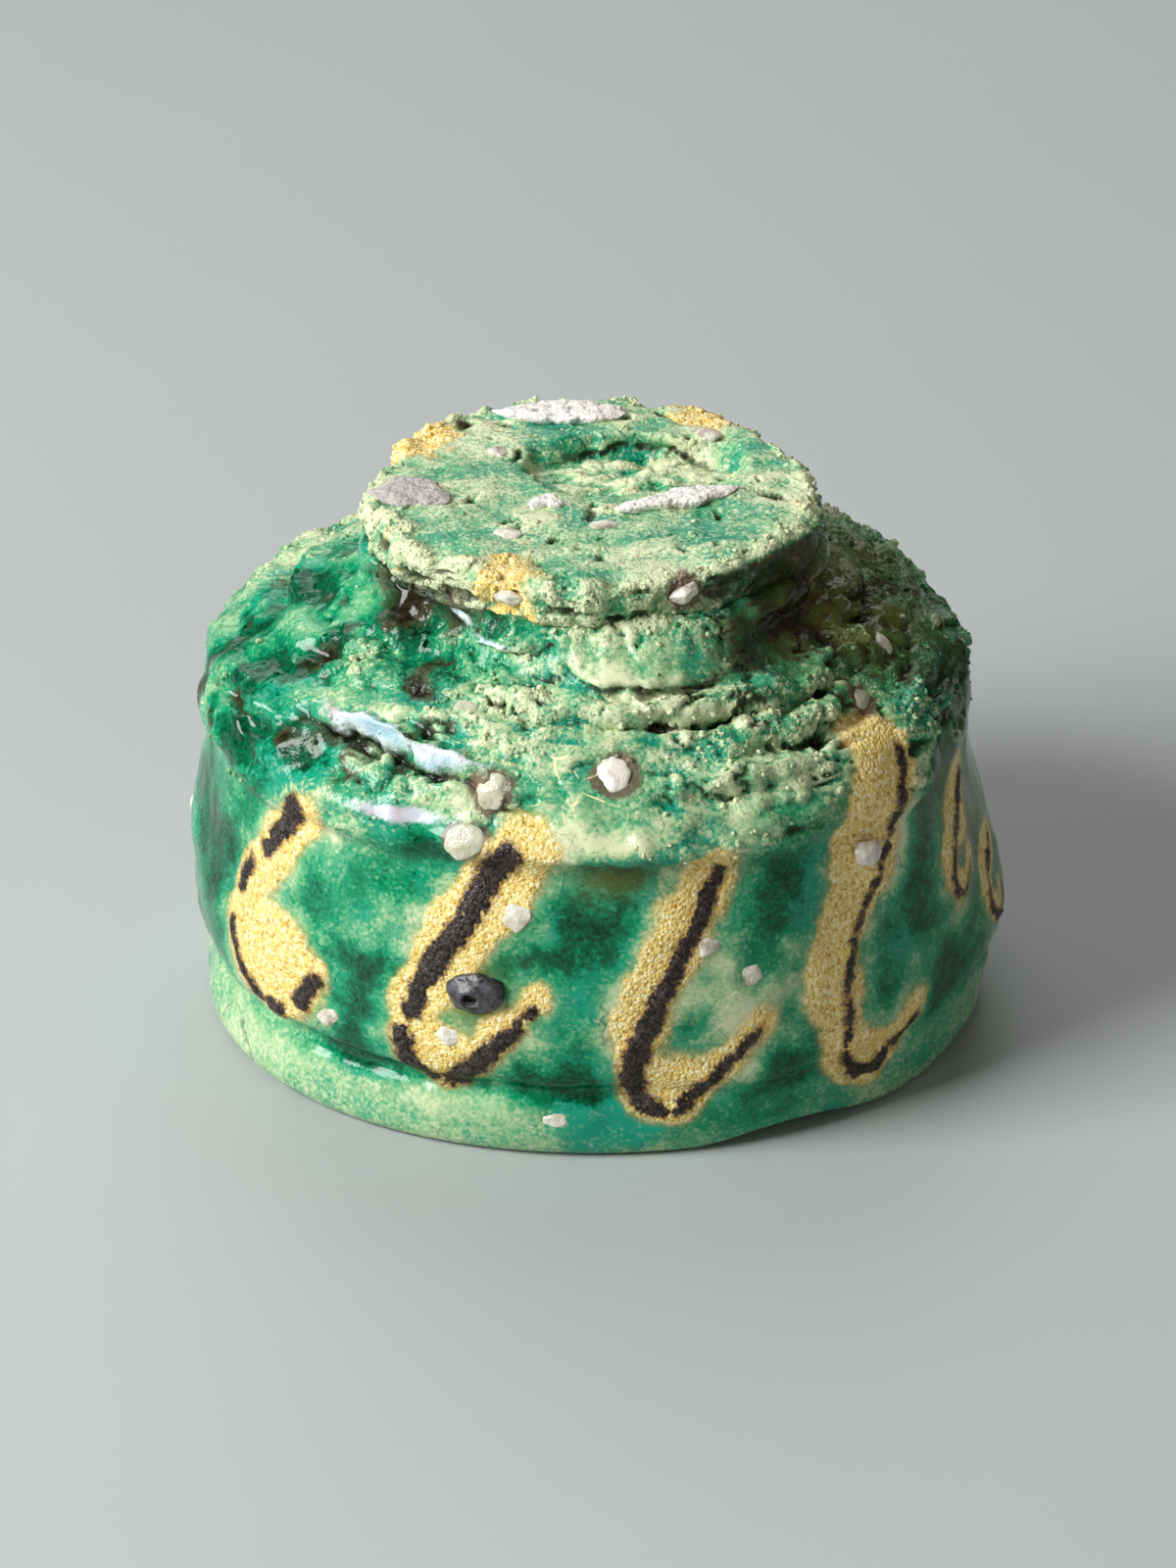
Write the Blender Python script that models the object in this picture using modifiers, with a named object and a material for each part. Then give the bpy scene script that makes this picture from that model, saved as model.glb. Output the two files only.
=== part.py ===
"""A hand-built sake cup of glazed stoneware, lying mouth down on its rim with its foot up.

Metres, +Z up. The origin is the middle of the rim's resting plane. Angles run anticlockwise
from +X, seen from above, and the front of the cup faces -Y.
"""

import math

import bmesh
import bpy
import numpy as np
from mathutils import Matrix, Vector

MM = 0.001

# Driving sizes of the clay body
BELLY_RADIUS = 32.9 * MM
BELLY_HEIGHT = 14.0 * MM
WALL = 4.6 * MM
RIM_RADIUS = 32.4 * MM
RIM_FLAT = 1.5 * MM
RIM_ROUNDING = 1.1 * MM
RIM_BAND_HEIGHT = 6.2 * MM
RIM_GROOVE_DEPTH = 1.3 * MM
WAIST_HEIGHT = 27.6 * MM
WAIST_RADIUS = 32.2 * MM
WAIST_STEP = 1.2 * MM
SHOULDER_HEIGHT = 32.6 * MM
SHOULDER_RADIUS = 30.2 * MM
NECK_HEIGHT = 38.9 * MM
NECK_RADIUS = 19.0 * MM
COLLAR_HEIGHT = 4.0 * MM
COLLAR_FLARE = 0.5 * MM
FLOOR_THICKNESS = 6.6 * MM

# Driving sizes of the foot, which is a disc luted on to the collar
FOOT_RADIUS = 18.7 * MM
FOOT_THICKNESS = 3.4 * MM
FOOT_EDGE = 0.9 * MM
FOOT_DRAFT = 0.3 * MM
WORN_EDGE_ANGLE = 40
WORN_EDGE_HALF_WIDTH = 24
WORN_EDGE_SHARE = 0.07
RECESS_HALF_LENGTH = 9.8 * MM
RECESS_HALF_WIDTH = 6.2 * MM
RECESS_OFFSET_X = 3.1 * MM
RECESS_OFFSET_Y = 4.8 * MM
RECESS_DEPTH = 2.2 * MM
RECESS_DRAFT = 1.5 * MM

# The thin line of slip that every luted or embedded piece is set in
SLIP_GAP = 0.3 * MM

# How far the hand-built form departs from a turned one
OVALITY = 0.034
LOBE = 0.010
LOBE_ANGLE = math.radians(-28)
RIM_LIFT = 1.1 * MM
WAD_THICKNESS = 0.8 * MM

# Stations of the outside that belong to the collar, above the neck
COLLAR_STATIONS = 3

# Distance between rows of points on the torn part of the outside, from the waist up
TORN_ROW = 0.85 * MM

SPIN_STEPS = 72
STONE_SEGMENTS = 9
STONE_RINGS = 6
PINHOLE_SIDES = 10

# Finishes: base colour, roughness
FINISHES = {
    "green_glaze": ((0.06, 0.30, 0.17), 0.25),
    "feldspar": ((0.74, 0.70, 0.60), 0.45),
    "kiln_wad": ((0.62, 0.60, 0.56), 0.85),
    "iron": ((0.035, 0.026, 0.026), 0.35),
}

# Lumps and hollows pressed into the outside: angle, height, how far out, half width, half height
PRESSED = (
    (-76, NECK_HEIGHT + 0.6 * MM, 3.4 * MM, 24, 1.9 * MM),
    (-38, NECK_HEIGHT + 1.0 * MM, -0.3 * MM, 20, 2.6 * MM),
    (-126, NECK_HEIGHT + 1.6 * MM, -2.4 * MM, 16, 2.8 * MM),
    (-4, SHOULDER_HEIGHT + 1.6 * MM, 0.6 * MM, 26, 2.6 * MM),
    (-2, WAIST_HEIGHT, -2.1 * MM, 30, 8.0 * MM),
    (40, SHOULDER_HEIGHT + 0.4 * MM, 0.8 * MM, 30, 3.0 * MM),
    (178, SHOULDER_HEIGHT + 0.4 * MM, 1.3 * MM, 30, 3.2 * MM),
    (-132, SHOULDER_HEIGHT + 0.2 * MM, -1.9 * MM, 17, 1.8 * MM),
    (-104, SHOULDER_HEIGHT - 1.8 * MM, -1.3 * MM, 13, 1.6 * MM),
    (-8, BELLY_HEIGHT - 4.2 * MM, 1.0 * MM, 16, 2.8 * MM),
    (168, BELLY_HEIGHT + 3.4 * MM, 0.9 * MM, 20, 3.2 * MM),
    (-48, BELLY_HEIGHT + 2.0 * MM, -0.7 * MM, 15, 4.2 * MM),
    (100, BELLY_HEIGHT + 1.0 * MM, -0.8 * MM, 26, 4.0 * MM),
    (-12, WAIST_HEIGHT - 1.4 * MM, 0.9 * MM, 34, 2.0 * MM),
    (60, WAIST_HEIGHT - 1.4 * MM, 0.8 * MM, 40, 2.0 * MM),
    (142, WAIST_HEIGHT - 1.4 * MM, 0.9 * MM, 34, 2.0 * MM),
    (-62, RIM_BAND_HEIGHT, 0.8 * MM, 30, 1.7 * MM),
    (2, RIM_BAND_HEIGHT, 0.9 * MM, 40, 1.7 * MM),
    (86, RIM_BAND_HEIGHT, 0.8 * MM, 36, 1.7 * MM),
)

# Gashes torn round the shoulder, each with a lip of clay over it: angle, height over the shoulder,
# half width, rise to its right end, how far its lip stands out, how deep it goes
TEARS = (
    (-126, 0.7, 21, -0.7, 1.3, 1.2),
    (-68, 3.9, 27, -0.5, 1.0, 1.4),
    (-84, 5.9, 9, 0.3, 0.4, 0.7),
    (-36, 3.6, 12, 0.3, 0.7, 1.0),
    (-50, 1.7, 17, 0.5, 0.7, 0.9),
    (-78, -5.6, 20, 0.1, 0.5, 0.5),
    (-60, -4.0, 8, -0.2, 0.4, 0.7),
    (-66, -0.4, 14, 0.3, 0.6, 0.6),
    (-104, 4.3, 12, -0.4, 0.7, 0.8),
    (-142, 5.8, 12, 0.5, 0.8, 0.8),
    (-152, 4.4, 10, 0.8, 0.7, 0.9),
    (-160, -0.2, 12, -0.6, 0.6, 0.8),
    (-20, 0.4, 12, 0.4, 0.6, 0.8),
    (-8, 5.0, 16, -0.4, 0.8, 1.0),
    (4, -2.0, 14, 0.3, 0.5, 0.7),
    (24, 1.4, 20, 0.5, 0.8, 1.0),
    (40, -1.6, 16, -0.3, 0.6, 0.7),
    (58, 4.6, 18, -0.3, 0.9, 1.1),
    (84, 0.0, 20, 0.4, 0.7, 0.9),
    (92, 5.8, 16, 0.3, 0.6, 0.8),
    (118, 4.0, 22, -0.5, 1.0, 1.2),
    (130, -2.2, 18, 0.4, 0.6, 0.8),
    (150, 0.8, 17, 0.3, 0.7, 0.9),
    (172, 3.4, 14, 0.4, 0.8, 0.9),
)
TEAR_SPREAD = 0.75 * MM
LIP_SPREAD = 1.1 * MM
LIP_ABOVE = 1.6 * MM
# Share of a tear's width at which it starts to fade, squared, and the span that its direction is read over
TEAR_FULL = 0.15
SLOPE_SPAN = 1.0 * MM

# Places where the rim lifts clear of the table: angle, half width, share of RIM_LIFT
RIM_RISES = (
    (-58, 17, 1.0),
    (-22, 12, 0.6),
    (152, 15, 0.7),
    (62, 14, 0.5),
)

# Feldspar stones in the wall: angle, place from rim to neck along the outside, half length,
# half width, turn in the surface
WALL_STONES = {
    "stone_gold_patch": (-46, 0.56, 1.35, 1.20, 10),
    "stone_shoulder_front": (-87, 0.80, 1.90, 1.60, 30),
    "stone_belly_front": (-66, 0.38, 1.45, 1.25, 0),
    "stone_belly_upper": (-73, 0.45, 1.20, 1.05, 40),
    "stone_stroke": (-102, 0.51, 1.50, 1.25, 60),
    "stone_hook": (-112, 0.27, 1.25, 1.10, 0),
    "stone_ledge_low": (-110, 0.66, 1.75, 1.50, 20),
    "stone_ledge_high": (-107, 0.75, 1.60, 1.40, 70),
    "stone_gouge": (-117, 0.91, 1.30, 1.05, 15),
    "stone_rim_left": (-132, 0.24, 1.30, 0.85, 35),
    "stone_left_edge": (180, 0.39, 1.25, 1.00, 80),
    "stone_shoulder_right": (-19, 0.89, 1.30, 1.00, 50),
    "stone_shoulder_low": (-36, 0.84, 1.15, 0.95, 20),
    "stone_rim_front": (-96, 0.09, 1.25, 0.90, 0),
    "stone_rear_belly": (84, 0.36, 1.60, 1.35, 25),
    "stone_rear_waist": (52, 0.53, 1.30, 1.15, 65),
    "stone_rear_shoulder": (112, 0.78, 1.80, 1.50, 40),
    "stone_rear_left": (146, 0.46, 1.40, 1.10, 10),
    "stone_rear_low": (122, 0.25, 1.15, 1.00, 0),
    "stone_right_belly": (20, 0.33, 1.35, 1.10, 30),
}
# Feldspar stones in the foot's face: angle, share from the recess's edge to the foot's edge,
# half length, half width, turn
FACE_STONES = {
    "stone_face_front": (-126, 0.59, 1.30, 0.95, 20),
    "stone_face_middle": (-96, 0.34, 1.30, 0.90, 5),
    "stone_face_rear": (52, 0.25, 1.25, 1.05, 0),
    "stone_face_left": (158, 0.22, 1.15, 0.95, 35),
}
# Feldspar stones in the foot's side: angle, share of its thickness, half length, half width, turn
SIDE_STONES = {
    "stone_side_left": (-113, 0.46, 1.25, 0.85, 0),
    "stone_side_right": (-66, 0.52, 1.40, 1.10, 20),
}
STONE_DEPTH = 0.75
STONE_PROUD = 0.28

# The drop of iron that beaded on the wall: angle, place from rim to neck, radius, pinhole
BEAD_ANGLE = -108
BEAD_PLACE = 0.36
BEAD_RADIUS = 2.1 * MM
BEAD_PINHOLE_RADIUS = 0.45 * MM
BEAD_PINHOLE_DEPTH = 1.3 * MM

# Wad clay left on the foot's face by the kiln shelf: angle, share from the recess's edge to the
# foot's edge, half length, half width, turn
WADS = {
    "kiln_wad_left": (-169, 0.74, 3.2, 2.7, 60),
    "kiln_wad_front": (-66, 0.12, 5.8, 1.0, -2),
    "kiln_wad_small": (-123, 0.23, 1.5, 0.9, 43),
    "kiln_wad_rear": (106, 0.56, 5.6, 1.7, -16),
}
WAD_SIDES = 14


def smooth_bump(offset, half_width):
    """A bell of height 1 that fades out about two half widths away."""
    return np.exp(-((offset / half_width) ** 2))


def turn_between(angle, centre_degrees):
    """The signed turn from a direction to an angle, in radians, within half a turn."""
    return (angle - math.radians(centre_degrees) + math.pi) % (2 * math.pi) - math.pi


def outer_profile():
    """Stations of the outside from the collar's top down to the rim, as (radius, height)."""
    top = NECK_HEIGHT + COLLAR_HEIGHT
    groove = RIM_RADIUS - RIM_GROOVE_DEPTH
    return (
        (NECK_RADIUS + COLLAR_FLARE - 0.25 * COLLAR_HEIGHT, top),
        (NECK_RADIUS + COLLAR_FLARE, top - 0.25 * COLLAR_HEIGHT),
        (NECK_RADIUS, NECK_HEIGHT + 0.25 * COLLAR_HEIGHT),
        (NECK_RADIUS + 0.12 * (SHOULDER_RADIUS - NECK_RADIUS), NECK_HEIGHT),
        (0.5 * (NECK_RADIUS + SHOULDER_RADIUS), 0.62 * NECK_HEIGHT + 0.38 * SHOULDER_HEIGHT),
        (SHOULDER_RADIUS, SHOULDER_HEIGHT),
        (0.3 * SHOULDER_RADIUS + 0.7 * WAIST_RADIUS, 0.5 * (SHOULDER_HEIGHT + WAIST_HEIGHT)),
        (WAIST_RADIUS, WAIST_HEIGHT + 0.7 * WAIST_STEP),
        (WAIST_RADIUS - 0.2 * WAIST_STEP, WAIST_HEIGHT),
        (WAIST_RADIUS - WAIST_STEP, WAIST_HEIGHT - WAIST_STEP),
        (0.5 * (WAIST_RADIUS - WAIST_STEP + BELLY_RADIUS), 0.6 * WAIST_HEIGHT + 0.4 * BELLY_HEIGHT),
        (BELLY_RADIUS, BELLY_HEIGHT),
        (BELLY_RADIUS, 0.5 * (BELLY_HEIGHT + RIM_BAND_HEIGHT)),
        (BELLY_RADIUS - 0.3 * RIM_GROOVE_DEPTH, RIM_BAND_HEIGHT + RIM_GROOVE_DEPTH),
        (groove, RIM_BAND_HEIGHT),
        (RIM_RADIUS - 0.2 * RIM_GROOVE_DEPTH, RIM_BAND_HEIGHT - RIM_GROOVE_DEPTH),
        (RIM_RADIUS, 0.4 * RIM_BAND_HEIGHT),
        (RIM_RADIUS - 0.3 * RIM_ROUNDING, 0.5 * RIM_ROUNDING),
        (RIM_RADIUS - RIM_ROUNDING, 0.0),
    )


def inner_profile():
    """Stations of the inside from the rim up to the middle of the floor, as (radius, height)."""
    mouth = RIM_RADIUS - WALL
    ceiling = NECK_HEIGHT + COLLAR_HEIGHT - FLOOR_THICKNESS
    return (
        (RIM_RADIUS - RIM_ROUNDING - RIM_FLAT, 0.0),
        (mouth + 0.2 * RIM_ROUNDING, 0.5 * RIM_ROUNDING),
        (mouth, RIM_BAND_HEIGHT),
        (BELLY_RADIUS - WALL, BELLY_HEIGHT),
        (WAIST_RADIUS - WAIST_STEP - WALL, 0.75 * WAIST_HEIGHT),
        (0.85 * (WAIST_RADIUS - WALL), 0.25 * WAIST_HEIGHT + 0.72 * ceiling),
        (0.55 * (WAIST_RADIUS - WALL), 0.96 * ceiling),
        (0.0, ceiling),
    )


def torn_rows(stations):
    """The stations of the outside, with more between them from the waist up, where the clay is torn."""
    rows = [stations[0]]
    for start, end in zip(stations[:-1], stations[1:]):
        torn = end[1] >= WAIST_HEIGHT - WAIST_STEP
        count = math.ceil(math.dist(start, end) / TORN_ROW) if torn else 1
        shares = [i / count for i in range(1, count + 1)]
        rows += [tuple(np.interp(share, (0, 1), pair) for pair in zip(start, end)) for share in shares]
    return rows


def outside_line():
    """The outside from the rim up to the collar's top: lengths along it, and its stations."""
    stations = np.array(outer_profile()[::-1])
    steps = np.linalg.norm(np.diff(stations, axis=0), axis=1)
    return np.concatenate(([0], np.cumsum(steps))), stations


def torn_out(angle, along):
    """How far the lips and gashes of the shoulder move a point out, at a length along the outside."""
    lengths, stations = outside_line()
    moved = 0.0
    for degrees, over, half_width, rise, lip, depth in TEARS:
        level = np.interp(SHOULDER_HEIGHT + over * MM, stations[:, 1], lengths)
        turn = turn_between(angle, degrees) / math.radians(half_width)
        up = along - level - rise * MM * turn
        stands = lip * smooth_bump(up - LIP_ABOVE, LIP_SPREAD)
        cut = depth * smooth_bump(up, TEAR_SPREAD)
        moved = moved + np.clip(1 + TEAR_FULL - turn**2, 0, 1) * (stands - cut) * MM
    return moved


def hand_shape(angle, radius, height, outside):
    """Moves points of the turned form to the hand-built one.

    outside is 1 on the outer face and 0 on the inner one, which the presses and tears don't reach.
    """
    lengths, stations = outside_line()
    along = np.interp(height, stations[:, 1], lengths)
    below, above = along - SLOPE_SPAN, along + SLOPE_SPAN
    inward = np.interp(below, lengths, stations[:, 0]) - np.interp(above, lengths, stations[:, 0])
    upward = np.interp(above, lengths, stations[:, 1]) - np.interp(below, lengths, stations[:, 1])
    moved = outside * torn_out(angle, along) / np.hypot(inward, upward)
    oval = 1 + OVALITY * np.cos(2 * angle) + LOBE * np.cos(3 * (angle - LOBE_ANGLE))
    foot_height = NECK_HEIGHT + COLLAR_HEIGHT
    settled = np.clip((foot_height - height) / (foot_height - SHOULDER_HEIGHT), 0, 1)
    radius = radius * (1 + (oval - 1) * settled)
    for degrees, level, out, half_width, half_height in PRESSED:
        turn = turn_between(angle, degrees)
        bell = smooth_bump(turn, math.radians(half_width)) * smooth_bump(height - level, half_height)
        radius = radius + outside * out * bell
    radius = radius + moved * upward
    height = height + moved * inward
    near_rim = np.clip(1 - height / RIM_BAND_HEIGHT, 0, 1)
    for degrees, half_width, share in RIM_RISES:
        turn = turn_between(angle, degrees) / math.radians(half_width)
        rise = np.clip(1 - turn**2, 0, 1) ** 2
        height = height + near_rim * RIM_LIFT * share * rise
    return radius, height


def foot_edge(angle):
    """Share of the foot's radius that its uneven edge reaches at an angle."""
    waves = 0.022 * np.cos(2 * (angle - 0.3)) + 0.020 * np.cos(5 * (angle + 0.35))
    waves = waves + 0.014 * np.cos(9 * (angle - 1.1))
    worn = smooth_bump(turn_between(angle, WORN_EDGE_ANGLE), math.radians(WORN_EDGE_HALF_WIDTH))
    return 1 + waves - WORN_EDGE_SHARE * worn


def foot_shape(angle, radius, height):
    """Moves points of the round foot disc to its uneven edge and its off-centre recess."""
    beyond = 0.5 * (RECESS_HALF_LENGTH + FOOT_RADIUS - FOOT_EDGE)
    below = foot_face_height() - 0.5 * (RECESS_DEPTH + FOOT_THICKNESS)
    in_recess = (radius < beyond) & (height > below)
    narrow = RECESS_HALF_WIDTH / RECESS_HALF_LENGTH
    x = np.where(in_recess, RECESS_OFFSET_X + radius * np.cos(angle), 0)
    y = np.where(in_recess, RECESS_OFFSET_Y + narrow * radius * np.sin(angle), 0)
    edge = radius * foot_edge(angle)
    x = np.where(in_recess, x, edge * np.cos(angle))
    y = np.where(in_recess, y, edge * np.sin(angle))
    return x, y, height


def wall_point(angle, place):
    """A point of the outside, at a share of the way from the rim up to the neck."""
    lengths, stations = outside_line()
    neck = lengths[-1 - COLLAR_STATIONS]
    radius = np.interp(place * neck, lengths, stations[:, 0])
    height = np.interp(place * neck, lengths, stations[:, 1])
    radius, height = hand_shape(angle, radius, height, 1.0)
    return Vector((radius * math.cos(angle), radius * math.sin(angle), height))


def wall_frame(degrees, place, turn_degrees):
    """A matrix at a point of the outside: its Z leaves the clay, its X lies in the surface."""
    angle = math.radians(degrees)
    step = 0.02
    across = wall_point(angle + step, place) - wall_point(angle - step, place)
    along = wall_point(angle, place + step) - wall_point(angle, place - step)
    out = across.cross(along).normalized()
    side = across.normalized()
    turned = Matrix((side, out.cross(side), out)).transposed()
    turned = turned @ Matrix.Rotation(math.radians(turn_degrees), 3, "Z")
    return Matrix.Translation(wall_point(angle, place)) @ turned.to_4x4()


def foot_face_height():
    """Height of the foot's flat face, the highest clay of the cup as it lies."""
    return NECK_HEIGHT + COLLAR_HEIGHT + SLIP_GAP + FOOT_THICKNESS


def face_frame(degrees, share, turn_degrees):
    """A matrix on the foot's flat face, between the recess's edge and the foot's edge."""
    angle = math.radians(degrees)
    face = foot_face_height()
    inner_x = RECESS_OFFSET_X + RECESS_HALF_LENGTH * math.cos(angle)
    inner_y = RECESS_OFFSET_Y + RECESS_HALF_WIDTH * math.sin(angle)
    reach = (FOOT_RADIUS - FOOT_EDGE) * foot_edge(angle)
    edge = Vector((reach * math.cos(angle), reach * math.sin(angle), face))
    point = Vector((inner_x, inner_y, face)).lerp(edge, share)
    return Matrix.Translation(point) @ Matrix.Rotation(angle + math.radians(turn_degrees + 90), 4, "Z")


def side_frame(degrees, share, turn_degrees):
    """A matrix on the foot's side, its Z pointing away from the foot's middle."""
    angle = math.radians(degrees)
    radius = (FOOT_RADIUS - 0.5 * FOOT_DRAFT) * foot_edge(angle)
    height = foot_face_height() - (1 - share) * FOOT_THICKNESS
    point = Vector((radius * math.cos(angle), radius * math.sin(angle), height))
    lean = Matrix.Rotation(angle + 0.5 * math.pi, 4, "Z") @ Matrix.Rotation(0.5 * math.pi, 4, "X")
    return Matrix.Translation(point) @ lean @ Matrix.Rotation(math.radians(turn_degrees), 4, "Z")


def collection_named(name):
    """A new collection in the scene."""
    made = bpy.data.collections.new(name)
    bpy.context.scene.collection.children.link(made)
    return made


def finish_named(name):
    """The material of that finish, made on first use."""
    found = bpy.data.materials.get(name)
    if found:
        return found
    colour, roughness = FINISHES[name]
    made = bpy.data.materials.new(name)
    made.use_nodes = True
    shader = made.node_tree.nodes["Principled BSDF"]
    shader.inputs["Base Color"].default_value = (*colour, 1)
    shader.inputs["Roughness"].default_value = roughness
    shader.inputs["Metallic"].default_value = 0.0
    return made


def link_piece(name, mesh, finish, collection):
    """An object of that mesh and finish, shaded smooth, in a collection."""
    piece = bpy.data.objects.new(name, mesh)
    mesh.materials.clear()
    mesh.materials.append(finish_named(finish))
    mesh.shade_smooth()
    mesh.set_sharp_from_angle(angle=math.radians(40))
    collection.objects.link(piece)
    return piece


def spun_mesh(name, profile, collection):
    """The mesh of a profile turned about Z by a Screw modifier, with its poles closed."""
    line = bpy.data.meshes.new(name)
    points = [(radius, 0, height) for radius, height in profile]
    line.from_pydata(points, [(i, i + 1) for i in range(len(points) - 1)], [])
    guide = bpy.data.objects.new(name + "_profile", line)
    collection.objects.link(guide)
    screw = guide.modifiers.new("turn", "SCREW")
    screw.axis = "Z"
    screw.steps = SPIN_STEPS
    screw.render_steps = SPIN_STEPS
    screw.use_merge_vertices = True
    screw.merge_threshold = 0.01 * MM
    graph = bpy.context.evaluated_depsgraph_get()
    mesh = bpy.data.meshes.new_from_object(guide.evaluated_get(graph))
    bpy.data.objects.remove(guide)
    mesh.name = name
    return mesh


def reshape(mesh, move):
    """Passes every vertex, as angle, radius and height, through a function that gives its x, y, z."""
    points = np.empty(len(mesh.vertices) * 3)
    mesh.vertices.foreach_get("co", points)
    points = points.reshape(-1, 3)
    angle = np.arctan2(points[:, 1], points[:, 0])
    moved = move(angle, np.hypot(points[:, 0], points[:, 1]), points[:, 2])
    mesh.vertices.foreach_set("co", np.stack(moved, axis=1).ravel())
    mesh.update()


def make_cup_wall(collection):
    """The clay body: rim, belly, waist, shoulder and collar, with the hollow inside."""
    outer = outer_profile()
    inner = inner_profile()
    profile = ((0.0, outer[0][1]), *torn_rows(outer), *inner)
    mesh = spun_mesh("cup_wall", profile, collection)
    half_wall = 0.5 * WALL
    inside_line = np.array(inner)

    def by_hand(angle, radius, height):
        reach = np.interp(height, inside_line[:, 1], inside_line[:, 0]) + half_wall
        ceiling = inner[-1][1] + 0.5 * FLOOR_THICKNESS
        outside = np.where((radius > reach) | (height > ceiling), 1.0, 0.0)
        radius, height = hand_shape(angle, radius, height, outside)
        return radius * np.cos(angle), radius * np.sin(angle), height

    reshape(mesh, by_hand)
    return link_piece("cup_wall", mesh, "green_glaze", collection)


def make_foot_ring(collection):
    """The foot: a thick disc with an uneven edge and a recess cut in its face."""
    low = NECK_HEIGHT + COLLAR_HEIGHT + SLIP_GAP
    face = foot_face_height()
    profile = (
        (0.0, face - RECESS_DEPTH),
        (RECESS_HALF_LENGTH - RECESS_DRAFT, face - RECESS_DEPTH),
        (RECESS_HALF_LENGTH, face),
        (FOOT_RADIUS - FOOT_EDGE, face),
        (FOOT_RADIUS, face - FOOT_EDGE),
        (FOOT_RADIUS - 0.5 * FOOT_DRAFT, 0.5 * (low + face)),
        (FOOT_RADIUS - FOOT_DRAFT - 0.4 * FOOT_EDGE, low),
        (0.0, low),
    )
    mesh = spun_mesh("foot_ring", profile, collection)
    reshape(mesh, foot_shape)
    return link_piece("foot_ring", mesh, "green_glaze", collection)


def stone_mesh(name, half_sizes, grow):
    """A pebble: a sphere scaled to three half sizes, a little larger where it cuts a pocket."""
    form = bmesh.new()
    bmesh.ops.create_uvsphere(form, u_segments=STONE_SEGMENTS, v_segments=STONE_RINGS, radius=1)
    scale = Vector([size + grow for size in half_sizes])
    bmesh.ops.scale(form, vec=scale, verts=form.verts)
    mesh = bpy.data.meshes.new(name)
    form.to_mesh(mesh)
    form.free()
    return mesh


def set_in(host, name, half_sizes, place, finish, parts, cutters):
    """A stone bedded in its host, which gets a pocket one slip gap larger than the stone."""
    proud = Matrix.Translation((0, 0, (STONE_PROUD - 0.5) * half_sizes[2]))
    stone = link_piece(name, stone_mesh(name, half_sizes, 0.0), finish, parts)
    stone.matrix_world = place @ proud
    cutter = bpy.data.objects.new(name + "_pocket", stone_mesh(name + "_pocket", half_sizes, SLIP_GAP))
    cutter.matrix_world = stone.matrix_world
    cutter.hide_render = True
    cutter.display_type = "WIRE"
    cutters[host.name].objects.link(cutter)
    return stone


def cut_pockets(host, cutters):
    """Cuts every pocket of a host in one Boolean."""
    cut = host.modifiers.new("pockets", "BOOLEAN")
    cut.operation = "DIFFERENCE"
    cut.solver = "EXACT"
    cut.operand_type = "COLLECTION"
    cut.collection = cutters[host.name]


def make_stones(wall, foot, parts, cutters):
    """Every feldspar stone of the wall, of the foot's face and of the foot's side."""
    beds = ((wall, WALL_STONES, wall_frame), (foot, FACE_STONES, face_frame), (foot, SIDE_STONES, side_frame))
    for host, stones, frame in beds:
        for name, (degrees, place, length, width, turn) in stones.items():
            sizes = (length * MM, width * MM, STONE_DEPTH * width * MM)
            set_in(host, name, sizes, frame(degrees, place, turn), "feldspar", parts, cutters)


def make_iron_bead(wall, parts, cutters):
    """The bead of iron on the wall, with the pinhole that a gas bubble left in it."""
    sizes = (BEAD_RADIUS, BEAD_RADIUS, STONE_DEPTH * BEAD_RADIUS)
    place = wall_frame(BEAD_ANGLE, BEAD_PLACE, 0)
    bead = set_in(wall, "iron_bead", sizes, place, "iron", parts, cutters)
    form = bmesh.new()
    bmesh.ops.create_cone(
        form,
        cap_ends=True,
        segments=PINHOLE_SIDES,
        radius1=BEAD_PINHOLE_RADIUS,
        radius2=BEAD_PINHOLE_RADIUS,
        depth=2 * BEAD_PINHOLE_DEPTH,
    )
    mesh = bpy.data.meshes.new("iron_bead_pinhole")
    form.to_mesh(mesh)
    form.free()
    drill = bpy.data.objects.new("iron_bead_pinhole", mesh)
    drill.matrix_world = bead.matrix_world @ Matrix.Translation((0, 0, sizes[2]))
    drill.hide_render = True
    drill.display_type = "WIRE"
    cutters["iron_bead"].objects.link(drill)
    cut_pockets(bead, cutters)


def make_kiln_wads(parts):
    """Flat flakes of wad clay on the foot's face, each an uneven outline with a thickness."""
    for name, (degrees, share, length, width, turn) in WADS.items():
        outline = bpy.data.curves.new(name, "CURVE")
        outline.dimensions = "2D"
        outline.fill_mode = "BOTH"
        outline.extrude = 0.5 * WAD_THICKNESS
        spline = outline.splines.new("POLY")
        spline.points.add(WAD_SIDES - 1)
        for i, point in enumerate(spline.points):
            angle = 2 * math.pi * i / WAD_SIDES
            ragged = 1 + 0.10 * math.cos(3 * angle + degrees) + 0.06 * math.cos(5 * angle + share)
            x = length * MM * ragged * math.cos(angle)
            y = width * MM * ragged * math.sin(angle)
            point.co = (x, y, 0, 1)
        spline.use_cyclic_u = True
        outline.materials.append(finish_named("kiln_wad"))
        wad = bpy.data.objects.new(name, outline)
        lift = Matrix.Translation((0, 0, SLIP_GAP + 0.5 * WAD_THICKNESS))
        wad.matrix_world = face_frame(degrees, share, turn) @ lift
        parts.objects.link(wad)


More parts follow.
